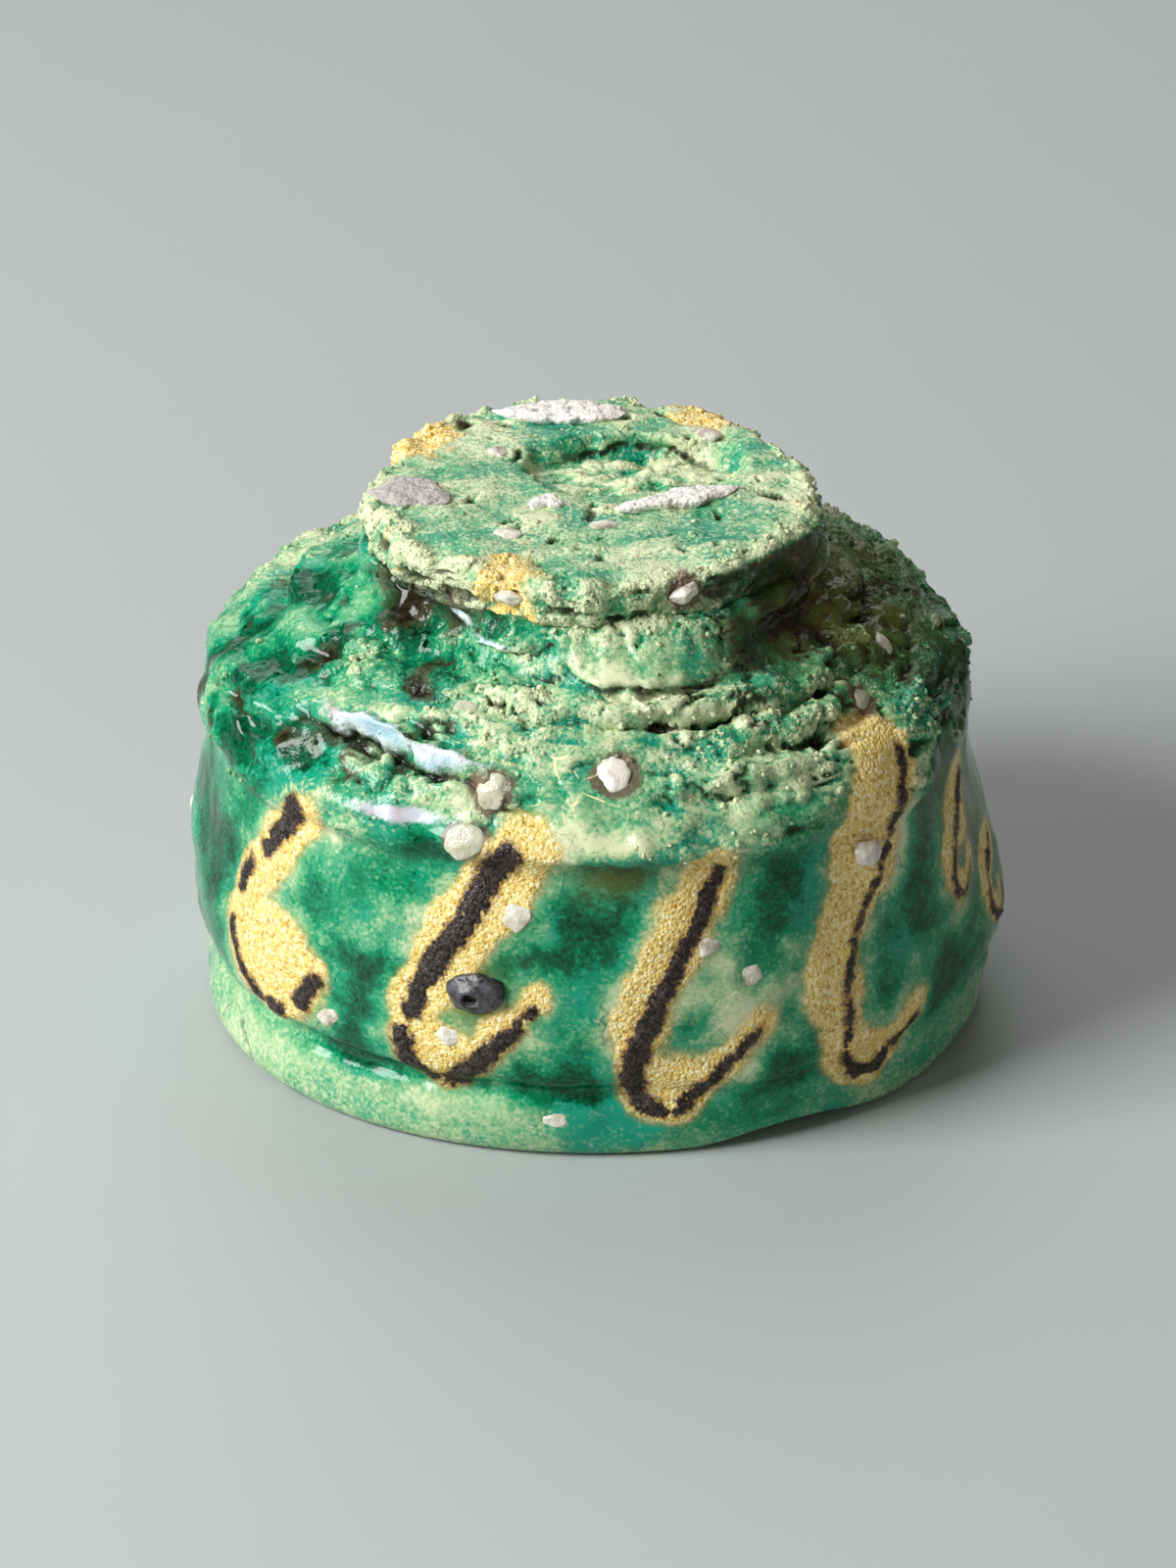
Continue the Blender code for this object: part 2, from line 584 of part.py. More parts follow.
def main():
    """Builds the cup in an empty scene."""
    for item in list(bpy.data.objects):
        bpy.data.objects.remove(item)
    parts = collection_named("sake_cup")
    hosts = ("cup_wall", "foot_ring", "iron_bead")
    cutters = {host: collection_named(host + "_cutters") for host in hosts}
    wall = make_cup_wall(parts)
    foot = make_foot_ring(parts)
    make_stones(wall, foot, parts, cutters)
    make_iron_bead(wall, parts, cutters)
    make_kiln_wads(parts)
    cut_pockets(wall, cutters)
    cut_pockets(foot, cutters)


main()
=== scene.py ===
"""Dresses a hand-built sake cup in copper green glaze, iron brushwork and torn clay.

The cup lies mouth down on its rim with its foot up. Lengths are metres, +Z is up, the front
faces -Y, and angles run anticlockwise from +X, seen from above.
"""

import logging
import math
from dataclasses import dataclass
from enum import Enum, IntEnum
from typing import Callable, NamedTuple

import bmesh
import bpy
import numpy as np
from bpy.types import Material, Mesh, Node, Object
from bpy.types import NodeSocket as Socket
from bpy.types import NodeTree as Tree
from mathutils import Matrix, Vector


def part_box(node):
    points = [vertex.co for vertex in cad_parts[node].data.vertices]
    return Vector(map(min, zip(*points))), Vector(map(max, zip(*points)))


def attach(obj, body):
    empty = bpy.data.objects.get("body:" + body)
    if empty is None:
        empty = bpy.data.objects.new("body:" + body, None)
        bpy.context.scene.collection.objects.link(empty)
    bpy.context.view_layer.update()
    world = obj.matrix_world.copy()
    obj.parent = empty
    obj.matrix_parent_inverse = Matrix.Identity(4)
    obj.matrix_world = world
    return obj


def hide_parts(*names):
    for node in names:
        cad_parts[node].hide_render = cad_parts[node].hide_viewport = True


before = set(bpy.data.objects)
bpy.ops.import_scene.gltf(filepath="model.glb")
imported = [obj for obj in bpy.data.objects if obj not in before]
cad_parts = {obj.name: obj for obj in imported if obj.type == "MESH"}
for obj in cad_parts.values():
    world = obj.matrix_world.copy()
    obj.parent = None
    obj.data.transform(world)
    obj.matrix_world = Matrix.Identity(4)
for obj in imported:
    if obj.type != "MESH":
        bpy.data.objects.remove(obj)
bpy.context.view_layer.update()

Array = np.ndarray
Colour = Triple = tuple[float, float, float]

LOG = logging.getLogger("sake_cup")
MM = 0.001
BODY = "root"
FULL_TURN = 2 * math.pi
LINE_STEP = 0.05 * MM
GRAIN_RADIUS = 0.62
DEPTH_LIMITS = (-2.0, 2.0)
GRAIN_SIZES = ("Cloud Size", "Grain Size", "Crystal Size")
STAINED = (
    "stone_shoulder_front",
    "stone_shoulder_low",
    "stone_side_right",
    "stone_ledge_high",
    "stone_ledge_low",
)

GRADIENTS = np.array(
    [(x, y, 0) for x in (-1, 1) for y in (-1, 1)]
    + [(x, 0, z) for x in (-1, 1) for z in (-1, 1)]
    + [(0, y, z) for y in (-1, 1) for z in (-1, 1)],
    float,
)


class Seed(IntEnum):
    """Which noise shapes what."""

    LUMPS = 3
    CRUMBS = 5
    WAIST_SWAY = 9
    WAIST_EASE = 15
    STRAY = 19
    PEBBLES = 19
    FINE_STRAY = 21
    GRIT = 27
    MOTTLE = 29
    STRATA = 41
    DRAG = 61
    SEAMS = 67
    BREAKS = 69
    RAGGED = 71
    DRY = 73
    DRIFT = 79
    GROUNDS = 83
    HALO = 89
    FOOT_LUMPS = 103
    FOOT_PEBBLES = 107
    SCORES = 113
    GASHES = 119
    FOOT_CRUMBS = 127
    RECESS_X = 131
    RECESS_Y = 137
    PITS = 149
    FOOT_MOTTLE = 151
    BLOTCHES = 157
    SCALLOPS = 163
    GLOOM = 167
    STONES = 201
    BEAD = 223
    WAD_EDGE = 233
    WAD_CRUST = 239
    WAD_SLOPE = 241


def scrambled(cells: Array, seed: int) -> Array:
    """Whole numbers that look random, one for each cell of a lattice.

    Args:
        cells: Lattice cells, three whole numbers each.
        seed: Which set of numbers to give.

    Returns:
        Numbers below 2 to the power of 32.
    """
    cells = cells.astype(np.int64)
    mixed = (cells[..., 0] * 73856093) ^ (cells[..., 1] * 19349663) ^ (cells[..., 2] * 83492791)
    mixed = (mixed ^ (seed * 668265263)) & 0xFFFFFFFF
    mixed = ((mixed ^ (mixed >> 15)) * 1274126177) & 0xFFFFFFFF
    mixed = ((mixed ^ (mixed >> 13)) * 1103515245) & 0xFFFFFFFF
    return mixed ^ (mixed >> 16)


def gradient_noise(points: Array, seed: int) -> Array:
    """Smooth noise with one swell to a lattice cell, from about -1 to 1.

    Args:
        points: Places in lattice units.
        seed: Which noise to give.

    Returns:
        One value for each point.
    """
    cell = np.floor(points)
    part = points - cell
    fade = part**3 * (part * (part * 6 - 15) + 10)
    total = np.zeros(points.shape[:-1])
    for corner in np.ndindex(2, 2, 2):
        step = np.array(corner)
        slope = GRADIENTS[scrambled(cell + step, seed) % len(GRADIENTS)]
        weight = np.prod(np.where(step == 1, fade, 1 - fade), axis=-1)
        total += weight * np.sum(slope * (part - step), axis=-1)
    return 1.5 * total


def fractal_noise(points: Array, seed: int, octaves: int) -> Array:
    """Smooth noise with finer and finer octaves added, from about -1 to 1.

    Args:
        points: Places in lattice units.
        seed: Which noise to give.
        octaves: How many noises are added.

    Returns:
        One value for each point.
    """
    total = np.zeros(points.shape[:-1])
    for octave in range(octaves):
        total += gradient_noise(points * 2**octave, seed + octave) * 0.5**octave
    return total / 1.5


def cell_noise(points: Array, seed: int) -> tuple[Array, Array]:
    """Distance to the nearest of a jittered lattice of points, and that point's own value.

    Args:
        points: Places in lattice units.
        seed: Which jitter to give.

    Returns:
        The distance in lattice units, and a value from 0 to 1 that is the same all over a cell.
    """
    cell = np.floor(points)
    nearest = np.full(points.shape[:-1], 9.0)
    value = np.zeros(points.shape[:-1])
    for corner in np.ndindex(3, 3, 3):
        there = cell + np.array(corner) - 1
        bits = scrambled(there, seed)
        jitter = np.stack([(bits >> shift) & 1023 for shift in (0, 10, 20)], axis=-1) / 1023
        distance = np.linalg.norm(there + 0.15 + 0.7 * jitter - points, axis=-1)
        closer = distance < nearest
        nearest = np.where(closer, distance, nearest)
        value = np.where(closer, (bits % 997) / 997, value)
    return nearest, value


def swells(points: Array, size: float, seed: int, octaves: int) -> Array:
    """Smooth noise in space, from about -1 to 1.

    Args:
        points: Places in metres.
        size: Length of its broadest swells, in millimetres.
        seed: Which noise to give.
        octaves: How many ever finer noises it is made of.

    Returns:
        One value for each point.
    """
    return fractal_noise(points / (size * MM), seed, octaves)


def unit(value: Array) -> Array:
    """A value held between 0 and 1."""
    return np.clip(value, 0, 1)


def domes(points: Array, size: float, seed: int) -> tuple[Array, Array]:
    """Round grains that lie side by side.

    Args:
        points: Places in metres.
        size: Distance between grains.
        seed: Which grains to give.

    Returns:
        How high the grain is at each point, and a value of its own, both from 0 to 1.
    """
    distance, value = cell_noise(points / size, seed)
    return np.sqrt(unit(1 - (distance / GRAIN_RADIUS) ** 2)), value


def smooth_step(low: float, high: float, value: Array) -> Array:
    """A soft step from 0 below low to 1 above high."""
    share = unit((value - low) / (high - low))
    return share * share * (3 - 2 * share)


def bell(offset: Array, half_width: float) -> Array:
    """A bell of height 1 that fades out about two half widths away."""
    return np.exp(-((offset / half_width) ** 2))


def turn_between(angle: Array, degrees: float) -> Array:
    """The signed turn from a direction to an angle, in radians, within half a turn."""
    return (angle - math.radians(degrees) + math.pi) % FULL_TURN - math.pi


def sector(angle: Array, degrees: float, half_width: float) -> Array:
    """A bell of height 1 round a direction, with its half width in degrees."""
    return bell(turn_between(angle, degrees), math.radians(half_width))


def turned(radius: Array | float, angle: Array, height: Array) -> Array:
    """Points at distances from the axis, angles round it and heights."""
    return np.stack((radius * np.cos(angle), radius * np.sin(angle), height), axis=-1)


def store(mesh: Mesh, name: str, values: Array) -> None:
    """Gives a mesh an attribute with one value to a vertex."""
    made = mesh.attributes.new(name, "FLOAT", "POINT")
    made.data.foreach_set("value", values.astype(np.float32))


@dataclass
class Surface:
    """A closed skin of rows of points round an axis, with a pole at each end.

    Attributes:
        points: Rows by steps round by three.
    """

    points: Array

    def normals(self) -> Array:
        """Unit directions out of the skin.

        Returns:
            Rows by steps round by three.
        """
        down = np.gradient(self.points, axis=0)
        across = np.roll(self.points, -1, axis=1) - np.roll(self.points, 1, axis=1)
        out = np.cross(down, across)
        return out / np.maximum(np.linalg.norm(out, axis=-1, keepdims=True), 1e-12)

    @staticmethod
    def blurred(field: Array, times: int) -> Array:
        """A field averaged with its neighbours.

        Args:
            field: Values, rows by steps round.
            times: How often they are averaged.

        Returns:
            The blurred values.
        """
        for _ in range(times):
            padded = np.concatenate((field[:1], field, field[-1:]))
            field = 0.5 * field + 0.25 * (padded[:-2] + padded[2:])
            field = 0.5 * field + 0.25 * (np.roll(field, 1, axis=1) + np.roll(field, -1, axis=1))
        return field

    def flat(self, field: Array) -> Array:
        """A field with one value to a vertex and one for each pole.

        Args:
            field: Values or points, rows by steps round.

        Returns:
            The values in the order of the mesh's vertices.
        """
        first = field[0].mean(axis=0, keepdims=True)
        last = field[-1].mean(axis=0, keepdims=True)
        middle = field[1:-1].reshape((-1, *field.shape[2:]))
        return np.concatenate((first, middle, last))

    def mesh(self, name: str, fields: dict[str, Array]) -> Mesh:
        """The skin as a smooth mesh that carries each field as an attribute.

        Args:
            name: Name of the mesh.
            fields: Values by attribute name, rows by steps round.

        Returns:
            The mesh, with its faces pointing out.
        """
        rows, around = self.points.shape[:2]
        step = np.arange(around)
        after = (step + 1) % around
        top = np.stack((np.zeros(around, int), 1 + step, 1 + after), axis=1)
        upper = 1 + np.arange(rows - 3)[:, None] * around
        quads = np.stack(
            (upper + step, upper + around + step, upper + around + after, upper + after), axis=-1
        ).reshape(-1, 4)
        last = 1 + (rows - 3) * around
        end = 1 + (rows - 2) * around
        bottom = np.stack((last + step, np.full(around, end), last + after), axis=1)
        mesh = bpy.data.meshes.new(name)
        faces = top.tolist() + quads.tolist() + bottom.tolist()
        mesh.from_pydata(self.flat(self.points).tolist(), [], faces)
        for key, field in fields.items():
            store(mesh, key, self.flat(field))
        mesh.shade_smooth()
        return mesh


def lengths_along(stations: Array) -> Array:
    """How far along the line through stations each one is."""
    return np.concatenate(([0], np.cumsum(np.linalg.norm(np.diff(stations, axis=0), axis=1))))


def even_line(stations: Array, spacing: float, rounding: float) -> Array:
    """A line through stations, sampled evenly with its corners rounded.

    Args:
        stations: Points of the line, as radius and height.
        spacing: Distance between samples.
        rounding: Width over which a corner is rounded.

    Returns:
        Points along the line.
    """
    lengths = lengths_along(stations)
    along = np.arange(0, lengths[-1], spacing)
    line = np.stack([np.interp(along, lengths, stations[:, i]) for i in range(2)], axis=1)
    reach = int(3 * rounding / spacing)
    kernel = bell(np.arange(-reach, reach + 1) * spacing, rounding)
    kernel /= kernel.sum()
    head = 2 * line[0] - line[reach:0:-1]
    tail = 2 * line[-1] - line[-2 : -reach - 2 : -1]
    padded = np.concatenate((head, line, tail))
    return np.stack([np.convolve(padded[:, i], kernel, "valid") for i in range(2)], axis=1)


class TurnedGrid(NamedTuple):
    """Points of a turned form, in rows round its axis.

    Attributes:
        angle: Angles round the axis.
        radius: Distances from it.
        height: Heights.
        along: How far along the form's line the points are.
    """

    angle: Array
    radius: Array
    height: Array
    along: Array


def turned_grid(
    stations: Array, rounding: float, around: int, step: Callable[[Array], Array]
) -> TurnedGrid:
    """Turns a line that starts and ends on the axis.

    Args:
        stations: Points of the line, as radius and height.
        rounding: Width over which its corners are rounded.
        around: Points to a row.
        step: Gives the distance between rows at lengths along the line.

    Returns:
        The rows.
    """
    line = even_line(stations, LINE_STEP, rounding)
    line[[0, -1], 0] = 0
    along = np.arange(len(line)) * LINE_STEP
    density = np.cumsum(LINE_STEP / step(along))
    rows = np.searchsorted(density, np.linspace(density[0], density[-1], int(density[-1])))
    rows = np.unique(np.clip(rows, 0, len(line) - 1))
    angle = np.broadcast_to(np.arange(around) * FULL_TURN / around, (len(rows), around))
    spread = [np.repeat(part[rows, None], around, axis=1) for part in (line[:, 0], line[:, 1], along)]
    return TurnedGrid(angle, *spread)


class Patch(NamedTuple):
    """A soft patch of the wall, pressed in or out by hand or covered thinly or thickly by glaze."""

    degrees: float
    height: float
    amount: float
    half_width: float
    half_height: float

    def spread(self, angle: Array, height: Array) -> Array:
        """The patch's amount at each place, which fades out to its edges."""
        across = sector(angle, self.degrees, self.half_width)
        return self.amount * across * bell(height - self.height, self.half_height)


def patches_of(*sizes: tuple[float, ...], scale: float = 1.0) -> list[Patch]:
    """Patches from rows of sizes.

    Args:
        sizes: Degrees, height, amount, half width and half height of each, heights in millimetres.
        scale: What the amounts are counted in.

    Returns:
        The patches.
    """
    return [Patch(size[0], size[1] * MM, size[2] * scale, size[3], size[4] * MM) for size in sizes]


def spread_of(patches: list[Patch], angle: Array, height: Array) -> Array:
    """The amounts of all patches at each place, added up."""
    return sum(patch.spread(angle, height) for patch in patches)


class Rise(NamedTuple):
    """A place where the rim lifts clear of the table."""

    degrees: float
    half_width: float
    share: float


class Tear(NamedTuple):
    """A gash torn round the shoulder, with a lip of clay over it.

    Attributes:
        degrees: Angle of its middle.
        over: Height of its middle over the shoulder.
        half_width: Degrees from its middle to its end.
        rise: How much higher its right end is than its middle.
        lip: How far the clay over it stands out.
        depth: How deep it goes.
    """

    degrees: float
    over: float
    half_width: float
    rise: float
    lip: float
    depth: float


def tears_of(*sizes: tuple[float, ...]) -> list[Tear]:
    """Tears from rows of their sizes, with lengths in millimetres."""
    return [Tear(size[0], size[1] * MM, size[2], *(part * MM for part in size[3:])) for size in sizes]


# Where the glaze lies thick (below 0) or thin (above 0); the deep pools under the foot and on the right side
# also stand for painted shade.
POOLS_AND_SHADE = patches_of(
    (-119, 24.5, -0.08, 8, 2.8), (-91, 20.0, 0.02, 6, 6.0), (-92, 11.0, -0.02, 7, 5.0),
    (-62, 22.0, -0.10, 7, 3.6), (-61, 8.5, -0.14, 8, 2.6), (-33, 20.5, -0.32, 5, 4.5),
    (-147, 41.6, -0.35, 12, 2.4), (-154, 36.4, -0.40, 6, 0.9), (175, 36.5, -0.45, 6, 1.6),
    (-173, 33.8, -0.45, 4, 2.0), (-146, 32.4, -0.40, 4, 1.4), (-177, 38.7, -0.35, 6, 1.6),
    (-160, 34.2, -0.35, 7, 1.8), (-20, 21.0, -0.32, 8, 5.0), (-52, 9.5, -0.26, 5, 4.0),
    (-56, 21.5, -0.18, 6, 4.0), (12, 36.0, -0.20, 26, 6.0), (-72, 4.0, -0.44, 22, 3.0),
    (-116, 42.0, -0.50, 12, 2.2), (-34, 41.0, -0.60, 24, 4.2), (-16, 32.0, -0.25, 9, 3.0),
    (-36, 4.0, -0.12, 14, 3.0), (-120, 16.2, -0.34, 12, 1.1), (-125, 7.0, -0.34, 16, 1.4),
    (-93, 7.2, -0.34, 13, 2.0), (-150, 30.0, -0.25, 10, 3.0), (-140, 32.0, -0.30, 8, 1.6),
    (-143, 40.0, -0.35, 10, 2.6), (-130, 37.4, -0.45, 7, 1.5), (-24, 34.0, -0.25, 12, 4.0),
    (-12, 31.0, -0.30, 14, 5.0), (-121, 19.2, 0.20, 7, 1.8), (-110, 22.3, 0.10, 5, 3.0),
    (-86, 29.2, 0.25, 14, 1.3), (-71, 14.0, 0.26, 5, 3.6), (-55, 24.0, 0.15, 4, 3.0),
    (-35, 13.2, 0.34, 7, 2.4), (-23, 13.0, 0.22, 7, 2.6), (-86, 39.8, 0.22, 20, 1.2),
)
# Where the torn clay was smoothed over again.
CALMS = patches_of(
    (-76, 39.8, 1.0, 22, 1.7), (-91, 32.8, 0.9, 13, 2.4), (-72, 29.8, 1.0, 30, 1.6),
    (-34, 40.6, 1.0, 22, 2.6), (-118, 30.0, 0.7, 10, 1.5), (-62, 33.6, 0.6, 7, 1.2),
    (30, 33.0, 0.8, 16, 2.4), (104, 31.0, 0.8, 20, 2.0),
)
# Where the hand pushed slabs of clay out (above 0) or in (below 0).
FOLDS = patches_of(
    (-147, 42.0, -1.8, 11, 1.7), (-138, 39.2, -0.7, 5, 2.0), (-119, 40.6, 2.0, 10, 1.5),
    (-129, 37.4, -0.6, 6, 1.0), (-126, 34.6, -0.4, 18, 1.0), (-82, 39.0, -0.6, 18, 0.45),
    (-132, 6.5, -0.35, 32, 0.8), (-152, 4.5, -0.8, 22, 3.0),
    scale=MM,
)
# Where painted shade darkens the hollows: under the foot, under the pale ridge, in the shoulder's clefts and
# on the right side away from the light.
PAINTED_SHADE_PATCHES = patches_of(
    (-147, 41.8, 1.3, 13, 2.2), (-133, 42.4, 1.0, 13, 1.2), (-154, 36.4, 0.7, 4, 0.7),
    (175, 36.5, 0.7, 4, 1.0), (-173, 33.8, 0.7, 3, 1.4), (-146, 32.0, 0.6, 1.8, 0.8),
    (-134, 33.6, 0.9, 9, 0.6), (-131, 38.8, 0.5, 3, 2.2), (-127, 37.2, 0.5, 6, 0.6),
    (-123, 35.4, 0.9, 2.6, 0.5), (-141, 32.4, 0.3, 7, 0.9), (-82, 39.0, 0.8, 18, 0.35),
    (-38, 40.8, 1.0, 24, 2.6),
)
# Where the glaze turned milky, with a painted highlight along the stripe and the slab's top edge.
MILK_AND_HIGHLIGHT_STRIPES = patches_of(
    (-122, 29.9, 0.95, 9, 0.65), (-128, 41.6, 0.9, 6, 0.4), (-116, 40.8, 0.9, 7, 0.4),
    (-123, 35.4, -1.2, 2.6, 0.5),
)
# Where the glaze turned olive over iron in the clay, and where olive is painted as shade on the right side,
# under the foot and under the waist's lip.
OLIVE_AND_SHADE_PATCHES = patches_of(
    (-8, 38.5, 0.75, 26, 4.0), (16, 38.5, 0.70, 22, 5.0), (-32, 41.0, 0.65, 22, 4.0),
    (-88, 25.8, 0.80, 8, 1.8), (-48, 28.4, 0.60, 7, 1.8), (-22, 28.0, 0.55, 9, 3.0),
    (-12, 20.0, 1.0, 12, 8.0), (20, 26.0, 0.40, 14, 8.0), (70, 34.0, 0.50, 20, 3.0),
    (128, 38.0, 0.50, 18, 3.0),
)
# Every gash of the shoulder, the pale ridge's first.
TEARS = tears_of(
    (-126, 0.7, 21, -0.7, 1.3, 1.2), (-68, 3.9, 27, -0.5, 1.0, 1.4), (-84, 5.9, 9, 0.3, 0.4, 0.7),
    (-36, 3.6, 12, 0.3, 0.7, 1.0), (-50, 1.7, 17, 0.5, 0.7, 0.9), (-78, -5.6, 20, 0.1, 0.5, 0.5),
    (-60, -4.0, 8, -0.2, 0.4, 0.7), (-66, -0.4, 14, 0.3, 0.6, 0.6), (-104, 4.3, 12, -0.4, 0.7, 0.8),
    (-142, 5.8, 12, 0.5, 0.8, 0.8), (-152, 4.4, 10, 0.8, 0.7, 0.9), (-160, -0.2, 12, -0.6, 0.6, 0.8),
    (-20, 0.4, 12, 0.4, 0.6, 0.8), (-8, 5.0, 16, -0.4, 0.8, 1.0), (4, -2.0, 14, 0.3, 0.5, 0.7),
    (24, 1.4, 20, 0.5, 0.8, 1.0), (40, -1.6, 16, -0.3, 0.6, 0.7), (58, 4.6, 18, -0.3, 0.9, 1.1),
    (84, 0.0, 20, 0.4, 0.7, 0.9), (92, 5.8, 16, 0.3, 0.6, 0.8), (118, 4.0, 22, -0.5, 1.0, 1.2),
    (130, -2.2, 18, 0.4, 0.6, 0.8), (150, 0.8, 17, 0.3, 0.7, 0.9), (172, 3.4, 14, 0.4, 0.8, 0.9),
)
# Every place where the rim lifts.
RISES = (Rise(-58, 17, 1.0), Rise(-22, 12, 0.6), Rise(152, 15, 0.7), Rise(62, 14, 0.5))


@dataclass
class CupForm:
    """Sizes of the clay body, and how far it departs from a turned one."""

    belly_radius: float = 32.9 * MM
    belly_height: float = 14.0 * MM
    wall: float = 4.6 * MM
    rim_radius: float = 32.4 * MM
    rim_flat: float = 1.5 * MM
    rim_rounding: float = 1.1 * MM
    rim_band_height: float = 6.2 * MM
    rim_groove_depth: float = 1.3 * MM
    waist_height: float = 27.6 * MM
    waist_radius: float = 32.2 * MM
    waist_step: float = 1.2 * MM
    shoulder_height: float = 32.6 * MM
    shoulder_radius: float = 30.2 * MM
    neck_height: float = 38.9 * MM
    neck_radius: float = 19.0 * MM
    collar_height: float = 4.0 * MM
    collar_flare: float = 0.5 * MM
    floor_thickness: float = 6.6 * MM
    ovality: float = 0.034
    lobe: float = 0.010
    lobe_degrees: float = -28
    rim_lift: float = 1.1 * MM
    tear_spread: float = 0.75 * MM
    lip_spread: float = 1.1 * MM
    lip_above: float = 1.6 * MM
    tear_full: float = 0.15
    slope_span: float = 1.0 * MM

    def outer_stations(self) -> list[tuple[float, float]]:
        """Stations of the outside from the collar's top down to the rim.

        Returns:
            Each as (radius, height).
        """
        neck, neck_up, collar = self.neck_radius, self.neck_height, self.collar_height
        flare = neck + self.collar_flare
        top = neck_up + collar
        shoulder, shoulder_up = self.shoulder_radius, self.shoulder_height
        waist, waist_up, step = self.waist_radius, self.waist_height, self.waist_step
        belly, belly_up = self.belly_radius, self.belly_height
        rim, rounding = self.rim_radius, self.rim_rounding
        band, groove = self.rim_band_height, self.rim_groove_depth
        return [
            (flare - 0.25 * collar, top),
            (flare, top - 0.25 * collar),
            (neck, neck_up + 0.25 * collar),
            (neck + 0.12 * (shoulder - neck), neck_up),
            (neck + 0.5 * (shoulder - neck), 0.62 * neck_up + 0.38 * shoulder_up),
            (shoulder, shoulder_up),
            (0.3 * shoulder + 0.7 * waist, 0.5 * (shoulder_up + waist_up)),
            (waist, waist_up + 0.7 * step),
            (waist - 0.2 * step, waist_up),
            (waist - step, waist_up - step),
            (0.5 * (waist - step + belly), 0.6 * waist_up + 0.4 * belly_up),
            (belly, belly_up),
            (belly, 0.5 * (belly_up + band)),
            (belly - 0.3 * groove, band + groove),
            (rim - groove, band),
            (rim - 0.2 * groove, band - groove),
            (rim, 0.4 * band),
            (rim - 0.3 * rounding, 0.5 * rounding),
            (rim - rounding, 0.0),
        ]

    def inner_stations(self) -> list[tuple[float, float]]:
        """Stations of the inside from the rim up to the middle of the floor.

        Returns:
            Each as (radius, height).
        """
        mouth = self.rim_radius - self.wall
        ceiling = self.neck_height + self.collar_height - self.floor_thickness
        hollow = self.waist_radius - self.wall
        return [
            (self.rim_radius - self.rim_rounding - self.rim_flat, 0.0),
            (mouth + 0.2 * self.rim_rounding, 0.5 * self.rim_rounding),
            (mouth, self.rim_band_height),
            (self.belly_radius - self.wall, self.belly_height),
            (hollow - self.waist_step, 0.75 * self.waist_height),
            (0.85 * hollow, 0.25 * self.waist_height + 0.72 * ceiling),
            (0.55 * hollow, 0.96 * ceiling),
            (0.0, ceiling),
        ]

    def presses(self) -> list[Patch]:
        """Every lump and hollow of the outside.

        Returns:
            Patches that are pressed out (above 0) or in (below 0).
        """
        neck, shoulder, waist = self.neck_height, self.shoulder_height, self.waist_height
        belly, band = self.belly_height, self.rim_band_height
        sizes = (
            (-76, neck, 0.6, 3.4, 24, 1.9), (-38, neck, 1.0, -0.3, 20, 2.6),
            (-126, neck, 1.6, -2.4, 16, 2.8), (-4, shoulder, 1.6, 0.6, 26, 2.6),
            (-2, waist, 0.0, -2.1, 30, 8.0), (40, shoulder, 0.4, 0.8, 30, 3.0),
            (178, shoulder, 0.4, 1.3, 30, 3.2), (-132, shoulder, 0.2, -1.9, 17, 1.8),
            (-104, shoulder, -1.8, -1.3, 13, 1.6), (-8, belly, -4.2, 1.0, 16, 2.8),
            (168, belly, 3.4, 0.9, 20, 3.2), (-48, belly, 2.0, -0.7, 15, 4.2),
            (100, belly, 1.0, -0.8, 26, 4.0), (-12, waist, -1.4, 0.9, 34, 2.0),
            (60, waist, -1.4, 0.8, 40, 2.0), (142, waist, -1.4, 0.9, 34, 2.0),
            (-62, band, 0.0, 0.8, 30, 1.7), (2, band, 0.0, 0.9, 40, 1.7), (86, band, 0.0, 0.8, 36, 1.7),
        )
        return [
            Patch(degrees, level + over * MM, amount * MM, half_width, half_height * MM)
            for degrees, level, over, amount, half_width, half_height in sizes
        ]

    def outside_line(self) -> tuple[Array, Array]:
        """The outside from the rim up to the collar's top: lengths along it, and its stations."""
        stations = np.array(self.outer_stations()[::-1])
        return lengths_along(stations), stations

    def along(self, height: Array) -> Array:
        """How far up the outside a height of the turned form is."""
        lengths, stations = self.outside_line()
        return np.interp(height, stations[:, 1], lengths)

    def over_tear(self, tear: Tear, angle: Array, along: Array) -> tuple[Array, Array]:
        """How far over a tear's middle line each place is, and how much of the tear is left there.

        Args:
            tear: The tear.
            angle: Angles of the places.
            along: How far up the outside they are.

        Returns:
            Lengths up the outside, and shares from 0 to 1.
        """
        turn = turn_between(angle, tear.degrees) / math.radians(tear.half_width)
        level = self.along(self.shoulder_height + tear.over)
        return along - level - tear.rise * turn, unit(1 + self.tear_full - turn**2)

    def torn(self, angle: Array, along: Array, spread: float) -> tuple[Array, Array]:
        """How far lips stand out and how deep gashes go.

        Args:
            angle: Angles of the places.
            along: How far up the outside they are.
            spread: Half width of a gash.

        Returns:
            The two lengths at each place.
        """
        lip = np.zeros(angle.shape)
        cut = np.zeros(angle.shape)
        for tear in TEARS:
            up, shown = self.over_tear(tear, angle, along)
            lip += tear.lip * shown * bell(up - self.lip_above, self.lip_spread)
            cut += tear.depth * shown * bell(up, spread)
        return lip, cut

